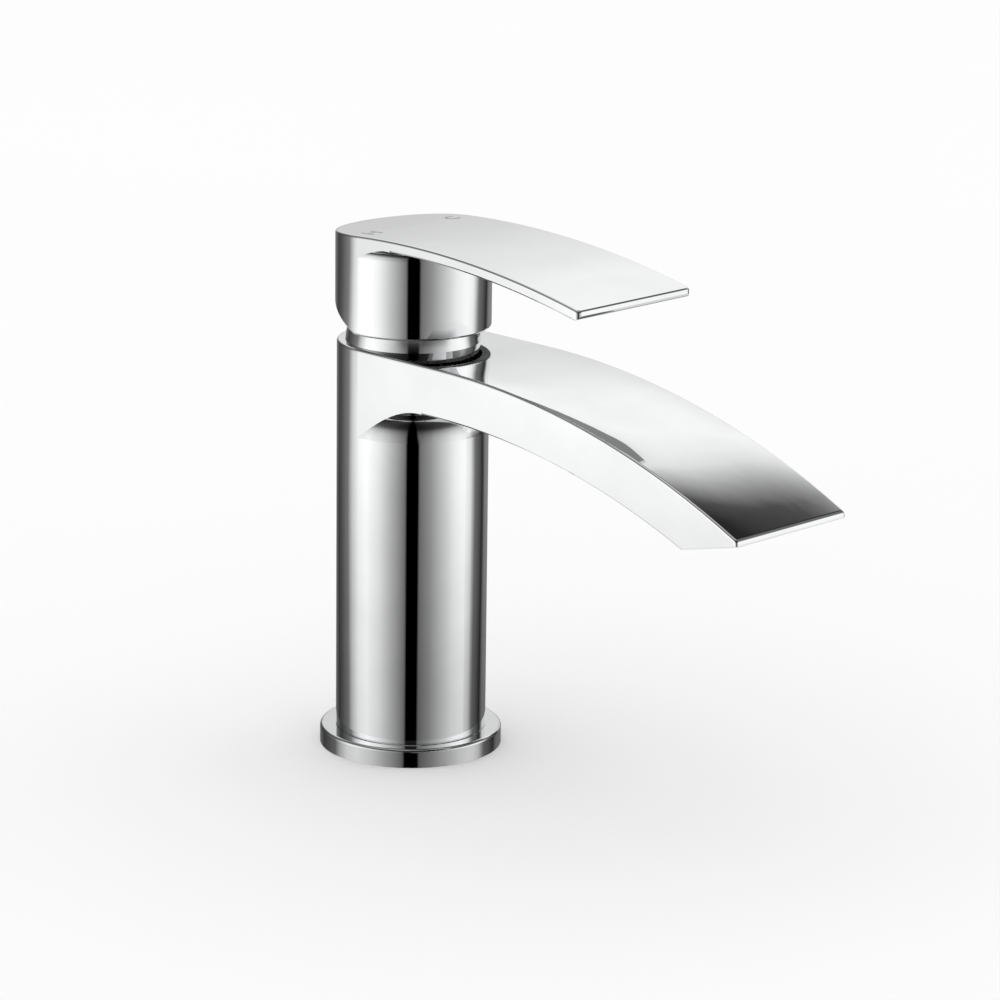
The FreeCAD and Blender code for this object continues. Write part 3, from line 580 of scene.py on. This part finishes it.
@dataclass(frozen=True)
class Rubber(Finish):
    """Black moulded rubber, dull and slightly dusty.

    Attributes:
        first: Colour of the rubber.
        second: Colour where it is dusty.
        rough_low: Least roughness.
        rough_high: Greatest roughness.
        grain: Grains per metre.
        dust: Patches of dust per metre.
        relief: Depth of the grain.
    """

    first: Colour = (0.012, 0.012, 0.013)
    second: Colour = (0.034, 0.034, 0.035)
    rough_low: float = 0.55
    rough_high: float = 0.78
    grain: float = 2600.0
    dust: float = 190.0
    relief: float = 1.2e-5

    def paint(self, shader: ShaderTree) -> Dict[str, Value]:
        """Makes what the finish's shader is fed with.

        Args:
            shader: The material's tree.

        Returns:
            Values and sockets, by the input's name.
        """
        where = shader.place()
        grain = shader.noise(where, self.grain)
        dust = shader.noise(where, self.dust, detail=4.0)
        return {
            "Base Color": shader.tint(dust, self.first, self.second),
            "Roughness": shader.span(dust, self.rough_low, self.rough_high),
            "Normal": shader.bump(grain, self.relief),
        }


@dataclass(frozen=True)
class Plastic(Finish):
    """Moulded plastic with a fine spark grain and slight flow marks.

    Attributes:
        first: Colour of the plastic.
        second: Colour that the first varies to.
        rough_low: Least roughness.
        rough_high: Greatest roughness.
        flow: Flow marks per metre.
        flow_scale: Scale of the flow marks along the three axes.
        grain: Grains per metre.
        relief: Depth of the grain.
    """

    first: Colour = (0.74, 0.74, 0.72)
    second: Colour = (0.82, 0.82, 0.80)
    rough_low: float = 0.32
    rough_high: float = 0.46
    flow: float = 170.0
    flow_scale: Colour = (1.0, 1.0, 2.4)
    grain: float = 3400.0
    relief: float = 5.0e-6

    def paint(self, shader: ShaderTree) -> Dict[str, Value]:
        """Makes what the finish's shader is fed with.

        Args:
            shader: The material's tree.

        Returns:
            Values and sockets, by the input's name.
        """
        flow = shader.noise(shader.place(self.flow_scale), self.flow, detail=3.0)
        grain = shader.noise(shader.place(), self.grain)
        return {
            "Base Color": shader.tint(flow, self.first, self.second),
            "Roughness": shader.span(grain, self.rough_low, self.rough_high),
            "Normal": shader.bump(grain, self.relief),
        }


@dataclass(frozen=True)
class Ceramic(Finish):
    """Lapped alumina, close to white, with a fine speckle.

    Attributes:
        first: Colour of the alumina.
        second: Colour of the speckles.
        rough_low: Least roughness.
        rough_high: Greatest roughness.
        speckle: Speckles per metre.
        cloud: Patches of other roughness per metre.
        relief: Depth of the speckles.
    """

    first: Colour = (0.80, 0.78, 0.72)
    second: Colour = (0.88, 0.86, 0.81)
    rough_low: float = 0.10
    rough_high: float = 0.20
    speckle: float = 5200.0
    cloud: float = 260.0
    relief: float = 1.5e-6

    def paint(self, shader: ShaderTree) -> Dict[str, Value]:
        """Makes what the finish's shader is fed with.

        Args:
            shader: The material's tree.

        Returns:
            Values and sockets, by the input's name.
        """
        speckle = shader.noise(shader.place(), self.speckle)
        cloud = shader.noise(shader.place(), self.cloud)
        return {
            "Base Color": shader.tint(speckle, self.first, self.second),
            "Roughness": shader.span(cloud, self.rough_low, self.rough_high),
            "Normal": shader.bump(speckle, self.relief),
        }


CHROME_BODY = Chrome(
    "chrome_body",
    zone=BareMetalAndShadeZone(radius=19.0 * MM, top=123.9 * MM),
    roll=RollOff(
        start=20.0 * MM,
        full=60.0 * MM,
        fade=101.0 * MM,
        end=117.0 * MM,
        left_over=0.15,
        edge=22.5 * MM,
        slope=0.069,
    ),
)
CHROME_FLANGE = Chrome(
    "chrome_flange",
    dull=(0.70, 0.705, 0.71),
    bright=(0.76, 0.765, 0.77),
    zone=BareMetalAndShadeZone(radius=100.0 * MM, top=0.02 * MM),
)
CHROME_RING = Chrome("chrome_ring", rough_low=0.05, rough_high=0.08, wave=90.0)
CHROME_HANDLE = Chrome(
    "chrome_handle",
    # Painted shade: the inside of the handle and the faces that look down from its skirt are dark grey rough
    # metal.
    zone=BareMetalAndShadeZone(
        radius=20.55 * MM,
        top=152.0 * MM,
        first=(0.17, 0.17, 0.175),
        second=(0.26, 0.26, 0.265),
        rough_low=0.44,
        rough_high=0.58,
        under=22.8 * MM,
    ),
)
CHROME_AERATOR = Chrome("chrome_aerator", rough_low=0.05, rough_high=0.09, wave=240.0)
CHROME_PLUG = Chrome("chrome_plug", rough_low=0.06, rough_high=0.10, wave=240.0)
RUBBER = Rubber("rubber_black")
BRASS = Turned("brass_turned")
STEEL = Turned("steel_turned", (0.50, 0.50, 0.51), (0.64, 0.64, 0.65), 0.20, 0.34, ring=3000.0)
PLASTIC_WHITE = Plastic("plastic_white")
PLASTIC_GREY = Plastic("plastic_grey", (0.20, 0.21, 0.22), (0.26, 0.27, 0.28))
PLASTIC_RED = Plastic("plastic_red", (0.42, 0.035, 0.03), (0.52, 0.05, 0.04))
ALUMINA = Ceramic("alumina_lapped")
MARK_INK = Plastic("mark_ink", (0.26, 0.265, 0.27), (0.33, 0.335, 0.34), 0.45, 0.6)


def coat(node: str, finish: Finish) -> None:
    """Gives a carried-over node its finish.

    Args:
        node: Name of the node.
        finish: The finish of all of its faces.
    """
    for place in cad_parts[node].material_slots:
        place.material = finish.material()
    log.info("%s: %s", node, finish.name)


def piece(mesh: bmesh.types.BMesh, name: str, finish: Finish, body: Body) -> bpy.types.Object:
    """Makes a small piece of a finished mesh and lets it ride.

    Args:
        mesh: The mesh, in the tap's own frame; it is freed here.
        name: Name of the piece.
        finish: Its finish.
        body: The body that carries it.

    Returns:
        The new object.
    """
    bmesh.ops.recalc_face_normals(mesh, faces=mesh.faces)
    made = new_object(mesh, name, finish.material())
    made.data.shade_smooth()
    made.data.set_sharp_from_angle(angle=SHARP_ANGLE)
    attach(made, body.value)
    log.info("%s: %s, on %s", name, finish.name, body.value)
    return made


@dataclass
class Thread:
    """A screw thread inside a hole of the tap's foot.

    Attributes:
        name: Name of the piece.
        x: Place of the hole along the spout.
        y: Place of the hole across the spout.
        radius: Radius of the hole.
        depth: Length of the threaded part.
        pitch: Rise of one turn.
        relief: Height of the ridge.
        steps: Steps of one turn.
        bite: How far the ridge's foot lies in the wall.
        lead: Plain length at either end.
        crest: Ends of the ridge's flat crest, as shares of the pitch.
    """

    name: str
    x: float
    y: float
    radius: float
    depth: float
    pitch: float
    relief: float
    steps: int = 40
    bite: float = 0.03 * MM
    lead: float = 0.9 * MM
    crest: Span = (0.42, 0.58)

    def build(self) -> bpy.types.Object:
        """Winds a ridge up the wall of the hole.

        Returns:
            The thread.
        """
        mesh = bmesh.new()
        outer = self.radius + self.bite
        inner = self.radius - self.relief
        corners = [
            mesh.verts.new((outer, 0.0, self.lead)),
            mesh.verts.new((inner, 0.0, self.lead + self.crest[0] * self.pitch)),
            mesh.verts.new((inner, 0.0, self.lead + self.crest[1] * self.pitch)),
            mesh.verts.new((outer, 0.0, self.lead + self.pitch)),
        ]
        profile = [mesh.edges.new(pair) for pair in zip(corners, corners[1:])]
        turns = int((self.depth - 2.0 * self.lead) / self.pitch)
        bmesh.ops.spin(
            mesh,
            geom=corners + profile,
            axis=UPRIGHT,
            cent=ORIGIN,
            dvec=(0.0, 0.0, self.pitch / self.steps),
            angle=math.tau * turns,
            steps=self.steps * turns,
        )
        bmesh.ops.remove_doubles(mesh, verts=mesh.verts, dist=WELD_DISTANCE)
        bmesh.ops.translate(mesh, verts=mesh.verts, vec=(self.x, self.y, 0.0))
        return piece(mesh, self.name, BRASS, Body.TAP)


@dataclass
class Foot:
    """Pillar, spout casting and flange, with the threads of the supply and fixing holes.

    Attributes:
        inlet_x: Place of the supply holes along the spout.
        inlet_y: Distance of the supply holes from the middle.
        inlet_radius: Radius of a supply hole.
        inlet_depth: Threaded length of a supply hole.
        inlet_pitch: Pitch of a supply hole's thread.
        inlet_relief: Height of a supply hole's ridge.
        stud_x: Place of the fixing hole.
        stud_radius: Radius of the fixing hole.
        stud_depth: Threaded length of the fixing hole.
        stud_pitch: Pitch of the fixing hole's thread.
        stud_relief: Height of the fixing hole's ridge.
    """

    inlet_x: float = 2.0 * MM
    inlet_y: float = 8.5 * MM
    inlet_radius: float = 4.6 * MM
    inlet_depth: float = 14.0 * MM
    inlet_pitch: float = 1.0 * MM
    inlet_relief: float = 0.3 * MM
    stud_x: float = -11.5 * MM
    stud_radius: float = 3.4 * MM
    stud_depth: float = 18.0 * MM
    stud_pitch: float = 1.25 * MM
    stud_relief: float = 0.34 * MM

    def build(self) -> List[bpy.types.Object]:
        """Cuts the threads.

        Returns:
            The threads of the two supply holes and of the fixing hole.
        """
        threads = [
            Thread(
                f"{side.name.lower()}_inlet_thread",
                self.inlet_x,
                side.value * self.inlet_y,
                self.inlet_radius,
                self.inlet_depth,
                self.inlet_pitch,
                self.inlet_relief,
            )
            for side in Water
        ]
        threads.append(
            Thread(
                "stud_thread",
                self.stud_x,
                0.0,
                self.stud_radius,
                self.stud_depth,
                self.stud_pitch,
                self.stud_relief,
            )
        )
        return [thread.build() for thread in threads]

    def dress(self) -> None:
        """Plates the castings and blackens the seal."""
        coat("tap_body", CHROME_BODY)
        coat("base_flange", CHROME_FLANGE)
        coat("base_seal", RUBBER)


@dataclass
class Cartridge:
    """Everything between the pillar and the handle.

    Attributes:
        finishes: Finish of each node.
    """

    finishes: Dict[str, Finish] = field(
        default_factory=lambda: {
            "trim_ring": CHROME_RING,
            "trim_ring_o_ring": RUBBER,
            "cartridge_nut": BRASS,
            "cartridge_housing": PLASTIC_WHITE,
            "housing_o_ring": RUBBER,
            "cartridge_base": PLASTIC_GREY,
            "inlet_seal_hot": RUBBER,
            "inlet_seal_cold": RUBBER,
            "fixed_disc": ALUMINA,
            "moving_disc": ALUMINA,
            "disc_carrier": PLASTIC_GREY,
            "spindle_guide": PLASTIC_WHITE,
            "stem_pin": STEEL,
            "cartridge_stem": BRASS,
            "temperature_stop_ring": PLASTIC_RED,
        }
    )

    def dress(self) -> None:
        """Gives each node its finish."""
        for node, finish in self.finishes.items():
            coat(node, finish)


@dataclass
class Outlet:
    """The aerator in the end of the spout."""

    def dress(self) -> None:
        """Gives each node its finish."""
        coat("aerator_housing", CHROME_AERATOR)
        coat("aerator_screen", STEEL)
        coat("aerator_insert", PLASTIC_WHITE)
        coat("aerator_washer", RUBBER)


@dataclass
class Handle:
    """Lever handle with its hot and cold letters.

    Attributes:
        crest_x: Highest point of the arched top.
        top_radius: Radius of the arched top.
        mark_x: Place of the letters along the lever.
        mark_y: Distance of the letters from the middle.
        mark_size: Height of a letter.
        stroke: Width of a letter's stroke.
        thick: Thickness of a letter.
        bevel: Bevel of a letter's edges.
        lift: How far a letter stands above the plating.
        bar_share: Distance of the H's bars from its middle, as a share of its height.
        mouth: Half the angle of the C's opening.
        steps: Steps of the C's curve.
    """

    crest_x: float = 18.6 * MM
    top_radius: float = 317.0 * MM
    mark_x: float = -0.6 * MM
    mark_y: float = 16.4 * MM
    mark_size: float = 4.9 * MM
    stroke: float = 0.8 * MM
    thick: float = 0.1 * MM
    bevel: float = 0.02 * MM
    lift: float = 0.02 * MM
    bar_share: float = 0.36
    mouth: float = math.radians(48.0)
    steps: int = 40

    def build(self) -> List[bpy.types.Object]:
        """Makes the letters.

        Returns:
            The hot letter and the cold letter.
        """
        return [self.mark(side) for side in Water]

    def dress(self) -> None:
        """Plates the handle and finishes its screw."""
        coat("handle", CHROME_HANDLE)
        coat("grub_screw", STEEL)
        coat("screw_plug", CHROME_PLUG)

    def mark(self, side: Water) -> bpy.types.Object:
        """Makes one letter and lays it on the arched top.

        Args:
            side: Hot or cold.

        Returns:
            The letter.
        """
        mesh = self.letter_h() if side is Water.HOT else self.letter_c()
        bmesh.ops.bevel(
            mesh,
            geom=[edge for edge in mesh.edges if edge.calc_length() > self.thick],
            offset=self.bevel,
            offset_type="OFFSET",
            affect="EDGES",
            segments=1,
            profile=0.5,
            material=-1,
        )
        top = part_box("handle")[1].z
        slope = math.asin((self.mark_x - self.crest_x) / self.top_radius)
        height = top - self.top_radius * (1.0 - math.cos(slope)) + self.lift
        place = Matrix.Translation((self.mark_x, side.value * self.mark_y, height))
        place = place @ Matrix.Rotation(slope, 4, "Y") @ Matrix.Rotation(math.pi / 2.0, 4, "Z")
        bmesh.ops.transform(mesh, matrix=place, verts=mesh.verts)
        return piece(mesh, f"{side.name.lower()}_mark", MARK_INK, Body.LEVER)

    def letter_h(self) -> bmesh.types.BMesh:
        """Builds the letter H of three bars.

        Returns:
            The letter, upright along Y, with its face on the plane of X and Y.
        """
        mesh = bmesh.new()
        side = self.bar_share * self.mark_size
        for x, wide, high in (
            (-side, self.stroke, self.mark_size),
            (side, self.stroke, self.mark_size),
            (0.0, 2.0 * side - self.stroke, self.stroke),
        ):
            bar = bmesh.ops.create_cube(mesh, size=1.0)["verts"]
            bmesh.ops.scale(mesh, vec=(wide, high, self.thick), verts=bar)
            bmesh.ops.translate(mesh, vec=(x, 0.0, -0.5 * self.thick), verts=bar)
        return mesh

    def letter_c(self) -> bmesh.types.BMesh:
        """Builds the letter C as a swept stroke.

        Returns:
            The letter, upright along Y, with its face on the plane of X and Y.
        """
        mesh = bmesh.new()
        outer = 0.5 * self.mark_size
        inner = outer - self.stroke
        corners = [
            mesh.verts.new((inner, 0.0, -self.thick)),
            mesh.verts.new((outer, 0.0, -self.thick)),
            mesh.verts.new((outer, 0.0, 0.0)),
            mesh.verts.new((inner, 0.0, 0.0)),
        ]
        end = mesh.faces.new(corners)
        bmesh.ops.rotate(mesh, verts=corners, cent=ORIGIN, matrix=Matrix.Rotation(self.mouth, 3, "Z"))
        bmesh.ops.spin(
            mesh,
            geom=[end],
            axis=UPRIGHT,
            cent=ORIGIN,
            angle=math.tau - 2.0 * self.mouth,
            steps=self.steps,
        )
        return mesh


@dataclass
class ReflectionTent:
    """Light tent round the tap that only polished surfaces show: pale cloth with dark gaps.

    Angles are in degrees. The turn is counted from the camera, to the right of the picture.

    Attributes:
        radius: Radius of the tent.
        segments: Facets round the tent.
        rings: Facets from its top to its bottom.
        turn: Turn of the camera's direction about the upright axis.
        left: Levels to the left of the camera, by turn.
        right: Levels to the right of the camera, by turn.
        fan: Stretch of the turn, by height.
        lean: Share of the lean that the cloth's edges have, by turn.
        lean_angle: How far the edges lean to the right where the handle shows them.
        lean_reach: Heights between which the lean grows.
        left_rise: Gain of the left levels, by height.
        right_rise: Gain of the right levels, by height.
        front: Share of the dimming in front of the tap, by turn.
        dim: That dimming, by height.
        gap: Share of the haze in the dark gap in front, by turn.
        haze: That haze, by height.
        upper: Levels above the horizon behind the tap to the right, by height.
        clear: Levels above the horizon elsewhere behind the tap, by height.
        side: Share of the clear levels, by turn.
        back: Share of the levels behind the tap, by turn.
        back_reach: Heights between which that share grows.
        wide: Share of them high up, by turn.
        wide_reach: Heights between which that share grows.
        ground: Levels of the ground, by height.
        land: Share of the ground, by turn.
        dusk: Faint levels high up beside the tap, by turn.
        dusk_reach: Heights between which they grow.
        roof: Levels of the roof, by height.
        gain: Gain of all the levels.
    """

    radius: float = 60.0
    segments: int = 96
    rings: int = 48
    turn: float = -45.264
    left: Stops = (
        (-180.0, 0.20), (-163.0, 0.15), (-145.0, 0.04), (-131.0, 0.075), (-112.0, 0.17), (-102.0, 0.52),
        (-88.0, 0.87), (-72.0, 0.975), (-51.0, 0.77), (-32.0, 0.46), (-9.6, 0.15), (-6.6, 0.0),
    )
    right: Stops = (
        (9.8, 0.0), (12.8, 0.15), (29.0, 0.29), (54.0, 0.635), (68.0, 0.85), (83.0, 0.97), (92.0, 0.93),
        (96.0, 0.86), (101.0, 0.66), (106.0, 0.36), (111.0, 0.15), (122.0, 0.09), (133.5, 0.02),
        (145.0, 0.19), (165.0, 0.23),
    )
    fan: Stops = ((-18.4, 1.02), (-15.2, 0.98), (-14.0, 1.0), (12.0, 1.0), (18.0, 1.04), (28.0, 1.04))
    lean: Stops = (
        (-165.0, 0.0), (-140.0, 1.0), (-95.0, 1.0), (-70.0, 0.0), (70.0, 0.0), (95.0, 1.0), (140.0, 1.0),
        (165.0, 0.0),
    )
    lean_angle: float = 4.5
    lean_reach: Span = (-13.4, -12.0)
    left_rise: Stops = (
        (-70.0, 0.04), (-60.0, 0.08), (-54.0, 0.2), (-46.0, 0.5), (-38.0, 0.73), (-26.0, 0.9), (-21.0, 0.97),
        (-18.4, 0.8), (-15.5, 1.0), (-14.0, 1.17), (-6.0, 1.16), (0.0, 1.1), (11.0, 1.05), (17.0, 1.2),
        (21.0, 1.2), (25.0, 0.6), (28.0, 0.2), (31.0, 0.06), (60.0, 0.02),
    )
    right_rise: Stops = (
        (-70.0, 0.04), (-60.0, 0.06), (-54.0, 0.12), (-46.0, 0.4), (-38.0, 0.66), (-26.0, 0.88),
        (-21.0, 0.93), (-18.4, 0.66), (-15.1, 1.0), (11.0, 1.0), (18.0, 1.13), (21.5, 1.1), (24.5, 0.45),
        (27.0, 0.2), (31.0, 0.06), (60.0, 0.02),
    )
    front: Stops = ((-32.0, 0.0), (-12.0, 1.0), (56.0, 1.0), (70.0, 0.0))
    dim: Stops = ((2.0, 0.0), (9.0, 0.6), (12.0, 0.6), (17.0, 0.1), (24.0, 0.1))
    gap: Stops = ((-18.0, 0.0), (-7.0, 1.0), (10.0, 1.0), (18.0, 0.0))
    haze: Stops = (
        (4.0, 0.0), (9.0, 0.03), (12.0, 0.1), (15.0, 0.15), (16.5, 0.13), (18.0, 0.01), (20.5, 0.01),
        (22.0, 0.08), (28.0, 0.0),
    )
    upper: Stops = (
        (0.0, 0.575), (6.0, 0.595), (12.0, 0.67), (21.7, 0.79), (30.0, 0.91), (33.0, 0.93), (35.7, 0.86),
        (37.0, 0.74), (39.1, 0.32), (40.5, 0.07), (42.0, 0.02),
    )
    clear: Stops = (
        (0.0, 0.575), (6.0, 0.595), (12.0, 0.67), (16.5, 0.74), (21.7, 0.8), (25.0, 0.88), (30.0, 0.93),
        (45.0, 0.7), (60.0, 0.5),
    )
    side: Stops = ((0.0, 1.0), (0.1, 0.0), (167.0, 0.0), (173.0, 1.0))
    back: Stops = ((-170.0, 1.0), (-158.0, 0.0), (138.0, 0.0), (149.0, 1.0))
    back_reach: Span = (-6.0, 2.0)
    wide: Stops = ((-165.0, 1.0), (-150.0, 0.0), (126.0, 0.0), (136.0, 1.0))
    wide_reach: Span = (25.0, 30.0)
    ground: Stops = ((-90.0, 0.6), (-66.0, 0.9), (-57.0, 1.0), (-28.0, 1.0), (-22.0, 0.3), (-18.5, 0.0))
    land: Stops = (
        (-180.0, 0.06), (-170.0, 0.08), (-158.0, 0.8), (-130.0, 0.8), (-110.0, 0.0), (92.0, 0.0),
        (104.0, 0.6), (146.0, 0.62), (158.0, 0.25), (170.0, 0.12), (180.0, 0.06),
    )
    dusk: Stops = (
        (-180.0, 0.0), (-160.0, 0.16), (-70.0, 0.16), (-50.0, 0.0), (88.0, 0.0), (100.0, 0.13), (135.0, 0.13),
        (150.0, 0.0),
    )
    dusk_reach: Span = (20.0, 30.0)
    roof: Stops = ((52.0, 0.0), (64.0, 0.22), (90.0, 0.3))
    gain: float = 1.09

    def build(self) -> bpy.types.Object:
        """Makes the tent.

        Returns:
            The tent, shown to polished surfaces alone.
        """
        mesh = bmesh.new()
        bmesh.ops.create_uvsphere(
            mesh,
            u_segments=self.segments,
            v_segments=self.rings,
            radius=self.radius,
        )
        tent = new_object(mesh, "reflection_tent", self.cloth())
        tent.data.shade_smooth()
        tent.visible_camera = False
        tent.visible_diffuse = False
        tent.visible_shadow = False
        tent.visible_transmission = False
        tent.visible_volume_scatter = False
        return tent

    def cloth(self) -> bpy.types.Material:
        """Makes the tent's lit cloth.

        Returns:
            The material.
        """
        made, shader = new_material("tent_cloth")
        where = shader.place(turn=math.radians(-self.turn))
        way = shader.add("VectorMath", {0: where}, operation="NORMALIZE").outputs[0]
        ahead, aside, up = shader.add("SeparateXYZ", {0: way}).outputs
        turn = shader.math("MULTIPLY", shader.math("ARCTAN2", aside, ahead), DEGREES)
        height = shader.math("MULTIPLY", shader.math("ARCSINE", up), DEGREES)
        low_share = self.shared(shader, turn, self.back, shader.span(height, 0.0, 1.0, self.back_reach))
        high_share = self.shared(shader, turn, self.wide, shader.span(height, 0.0, 1.0, self.wide_reach))
        share = shader.math("MAXIMUM", low_share, high_share)
        dusk = self.shared(shader, turn, self.dusk, shader.span(height, 0.0, 1.0, self.dusk_reach))
        lower = shader.math("ADD", self.stripes(shader, turn, height), dusk)
        joined = shader.blend(share, lower, self.beyond(shader, turn, height))
        roofed = shader.math("ADD", joined, shader.levels(height, self.roof, SKY_HEIGHTS))
        shader.show(shader.add("Emission", {"Strength": shader.math("MULTIPLY", roofed, self.gain)}))
        made.cycles.emission_sampling = "NONE"
        return made

    def stripes(self, shader: ShaderTree, turn: Socket, height: Socket) -> Socket:
        """Gives the pale cloth beside the tap with its dark gaps, and the ground.

        Args:
            shader: The material's tree.
            turn: Turn from the camera.
            height: Height above the horizon.

        Returns:
            The level.
        """
        is_right = shader.math("GREATER_THAN", turn, 0.0)
        lean_by_height = shader.span(height, 0.0, -self.lean_angle, self.lean_reach)
        lean = self.shared(shader, turn, self.lean, lean_by_height)
        fanned = shader.math("MULTIPLY", turn, self.scaled(shader, height, self.fan))
        leant = shader.math("ADD", fanned, lean)
        left = shader.levels(leant, self.left, LEFT_TURN)
        right = shader.levels(leant, self.right, RIGHT_TURN)
        left_rise = self.scaled(shader, height, self.left_rise)
        right_rise = self.scaled(shader, height, self.right_rise)
        rise = shader.blend(is_right, left_rise, right_rise)
        cloth = shader.math("MULTIPLY", shader.blend(is_right, left, right), rise)
        dimmed = self.shared(shader, turn, self.front, shader.levels(height, self.dim, SKY_HEIGHTS))
        cloth = shader.math("MULTIPLY", cloth, shader.math("SUBTRACT", 1.0, dimmed))
        haze = self.shared(shader, turn, self.gap, shader.levels(height, self.haze, HAZE_HEIGHTS))
        cloth = shader.math("ADD", cloth, haze)
        ground = self.shared(shader, turn, self.land, shader.levels(height, self.ground, ALL_HEIGHTS))
        return shader.math("ADD", cloth, ground)

    def beyond(self, shader: ShaderTree, turn: Socket, height: Socket) -> Socket:
        """Gives the cloth behind the tap.

        Args:
            shader: The material's tree.
            turn: Turn from the camera.
            height: Height above the horizon.

        Returns:
            The level.
        """
        upper = shader.levels(height, self.upper, LOW_SKY_HEIGHTS)
        clear = shader.levels(height, self.clear, LOW_SKY_HEIGHTS)
        return shader.blend(self.by_turn(shader, turn, self.side), upper, clear)

    def by_turn(self, shader: ShaderTree, turn: Socket, stops: Stops) -> Socket:
        """Reads a level by turn.

        Args:
            shader: The material's tree.
            turn: Turn from the camera.
            stops: Pairs of turn and level.

        Returns:
            The level.
        """
        return shader.levels(turn, stops, FULL_TURN)

    def shared(self, shader: ShaderTree, turn: Socket, stops: Stops, level: Socket) -> Socket:
        """Keeps a level to its share of the turn.

        Args:
            shader: The material's tree.
            turn: Turn from the camera.
            stops: Pairs of turn and share.
            level: The level.

        Returns:
            The share of the level.
        """
        return shader.math("MULTIPLY", self.by_turn(shader, turn, stops), level)

    def scaled(self, shader: ShaderTree, height: Socket, stops: Stops) -> Socket:
        """Reads a gain that may pass one.

        Args:
            shader: The material's tree.
            height: Height above the horizon.
            stops: Pairs of height and gain.

        Returns:
            The gain.
        """
        halved = tuple((at, 0.5 * gain) for at, gain in stops)
        return shader.math("MULTIPLY", shader.levels(height, halved, GAIN_HEIGHTS), 2.0)


@dataclass
class Studio:
    """Plain pale floor, even white light, and a camera at the photograph's angle.

    Attributes:
        floor_size: Half the side of the floor.
        floor_squares: Facets along the side of the floor.
        floor_dark: Darkest colour of the floor.
        floor_pale: Palest colour of the floor.
        floor_cloud: Patches of other colour per metre.
        distance: Distance from the camera to its target.
        azimuth: Turn of the camera, in degrees.
        elevation: Height of the camera, in degrees.
        roll: Roll of the camera, in degrees.
        target_right: Target's distance to the right of the pillar's axis.
        target_height: Target's height.
        lens: Focal length, in millimetres.
        sensor: Width of the sensor, in millimetres.
    """

    floor_size: float = 6.0
    floor_squares: int = 4
    floor_dark: Colour = (0.982, 0.982, 0.982)
    floor_pale: Colour = (0.988, 0.988, 0.988)
    floor_cloud: float = 3.0
    distance: float = 1.2724
    azimuth: float = 44.7362
    elevation: float = 15.3943
    roll: float = 0.7333
    target_right: float = 26.1127 * MM
    target_height: float = 75.0834 * MM
    lens: float = 154.13
    sensor: float = 36.0

    def build(self) -> None:
        """Sets the floor, the light, the tent and the camera."""
        self.floor()
        ReflectionTent().build()
        self.light()
        self.camera()

    def floor(self) -> bpy.types.Object:
        """Lays the floor.

        Returns:
            The floor.
        """
        mesh = bmesh.new()
        bmesh.ops.create_grid(
            mesh,
            x_segments=self.floor_squares,
            y_segments=self.floor_squares,
            size=self.floor_size,
        )
        paint, shader = new_material("floor_paint")
        cloud = shader.noise(shader.place(), self.floor_cloud)
        colour = shader.tint(cloud, self.floor_dark, self.floor_pale)
        shader.show(shader.add("BsdfDiffuse", {"Color": colour}))
        floor = new_object(mesh, "studio_floor", paint)
        floor.visible_glossy = False
        return floor

    def light(self) -> None:
        """Fills the room with even white light."""
        world = bpy.data.worlds.new("studio_light")
        world.use_nodes = True
        background = world.node_tree.nodes["Background"].inputs
        background["Color"].default_value = WHITE
        background["Strength"].default_value = 1.0
        bpy.context.scene.world = world

    def camera(self) -> None:
        """Stands the camera where the photograph was taken from."""
        turn, rise, roll = (math.radians(angle) for angle in (self.azimuth, self.elevation, self.roll))
        back = Vector((math.sin(turn) * math.cos(rise), -math.cos(turn) * math.cos(rise), math.sin(rise)))
        level = Vector((math.cos(turn), math.sin(turn), 0.0))
        upright = back.cross(level)
        right = math.cos(roll) * level + math.sin(roll) * upright
        up = math.cos(roll) * upright - math.sin(roll) * level
        stand = level * self.target_right + Vector((0.0, 0.0, self.target_height)) + back * self.distance
        data = bpy.data.cameras.new("camera")
        data.lens = self.lens
        data.sensor_width = self.sensor
        camera = bpy.data.objects.new("camera", data)
        bpy.context.scene.collection.objects.link(camera)
        camera.matrix_world = Matrix.Translation(stand) @ Matrix((right, up, back)).transposed().to_4x4()
        bpy.context.scene.camera = camera


def main() -> None:
    """Builds and dresses the sub-assemblies and sets the studio."""
    logging.basicConfig(level=logging.INFO, format="%(name)s %(message)s")
    bpy.context.scene.view_settings.view_transform = "Standard"
    Studio().build()
    foot = Foot()
    foot.dress()
    foot.build()
    Cartridge().dress()
    Outlet().dress()
    handle = Handle()
    handle.dress()
    handle.build()


if __name__ == "__main__":
    main()
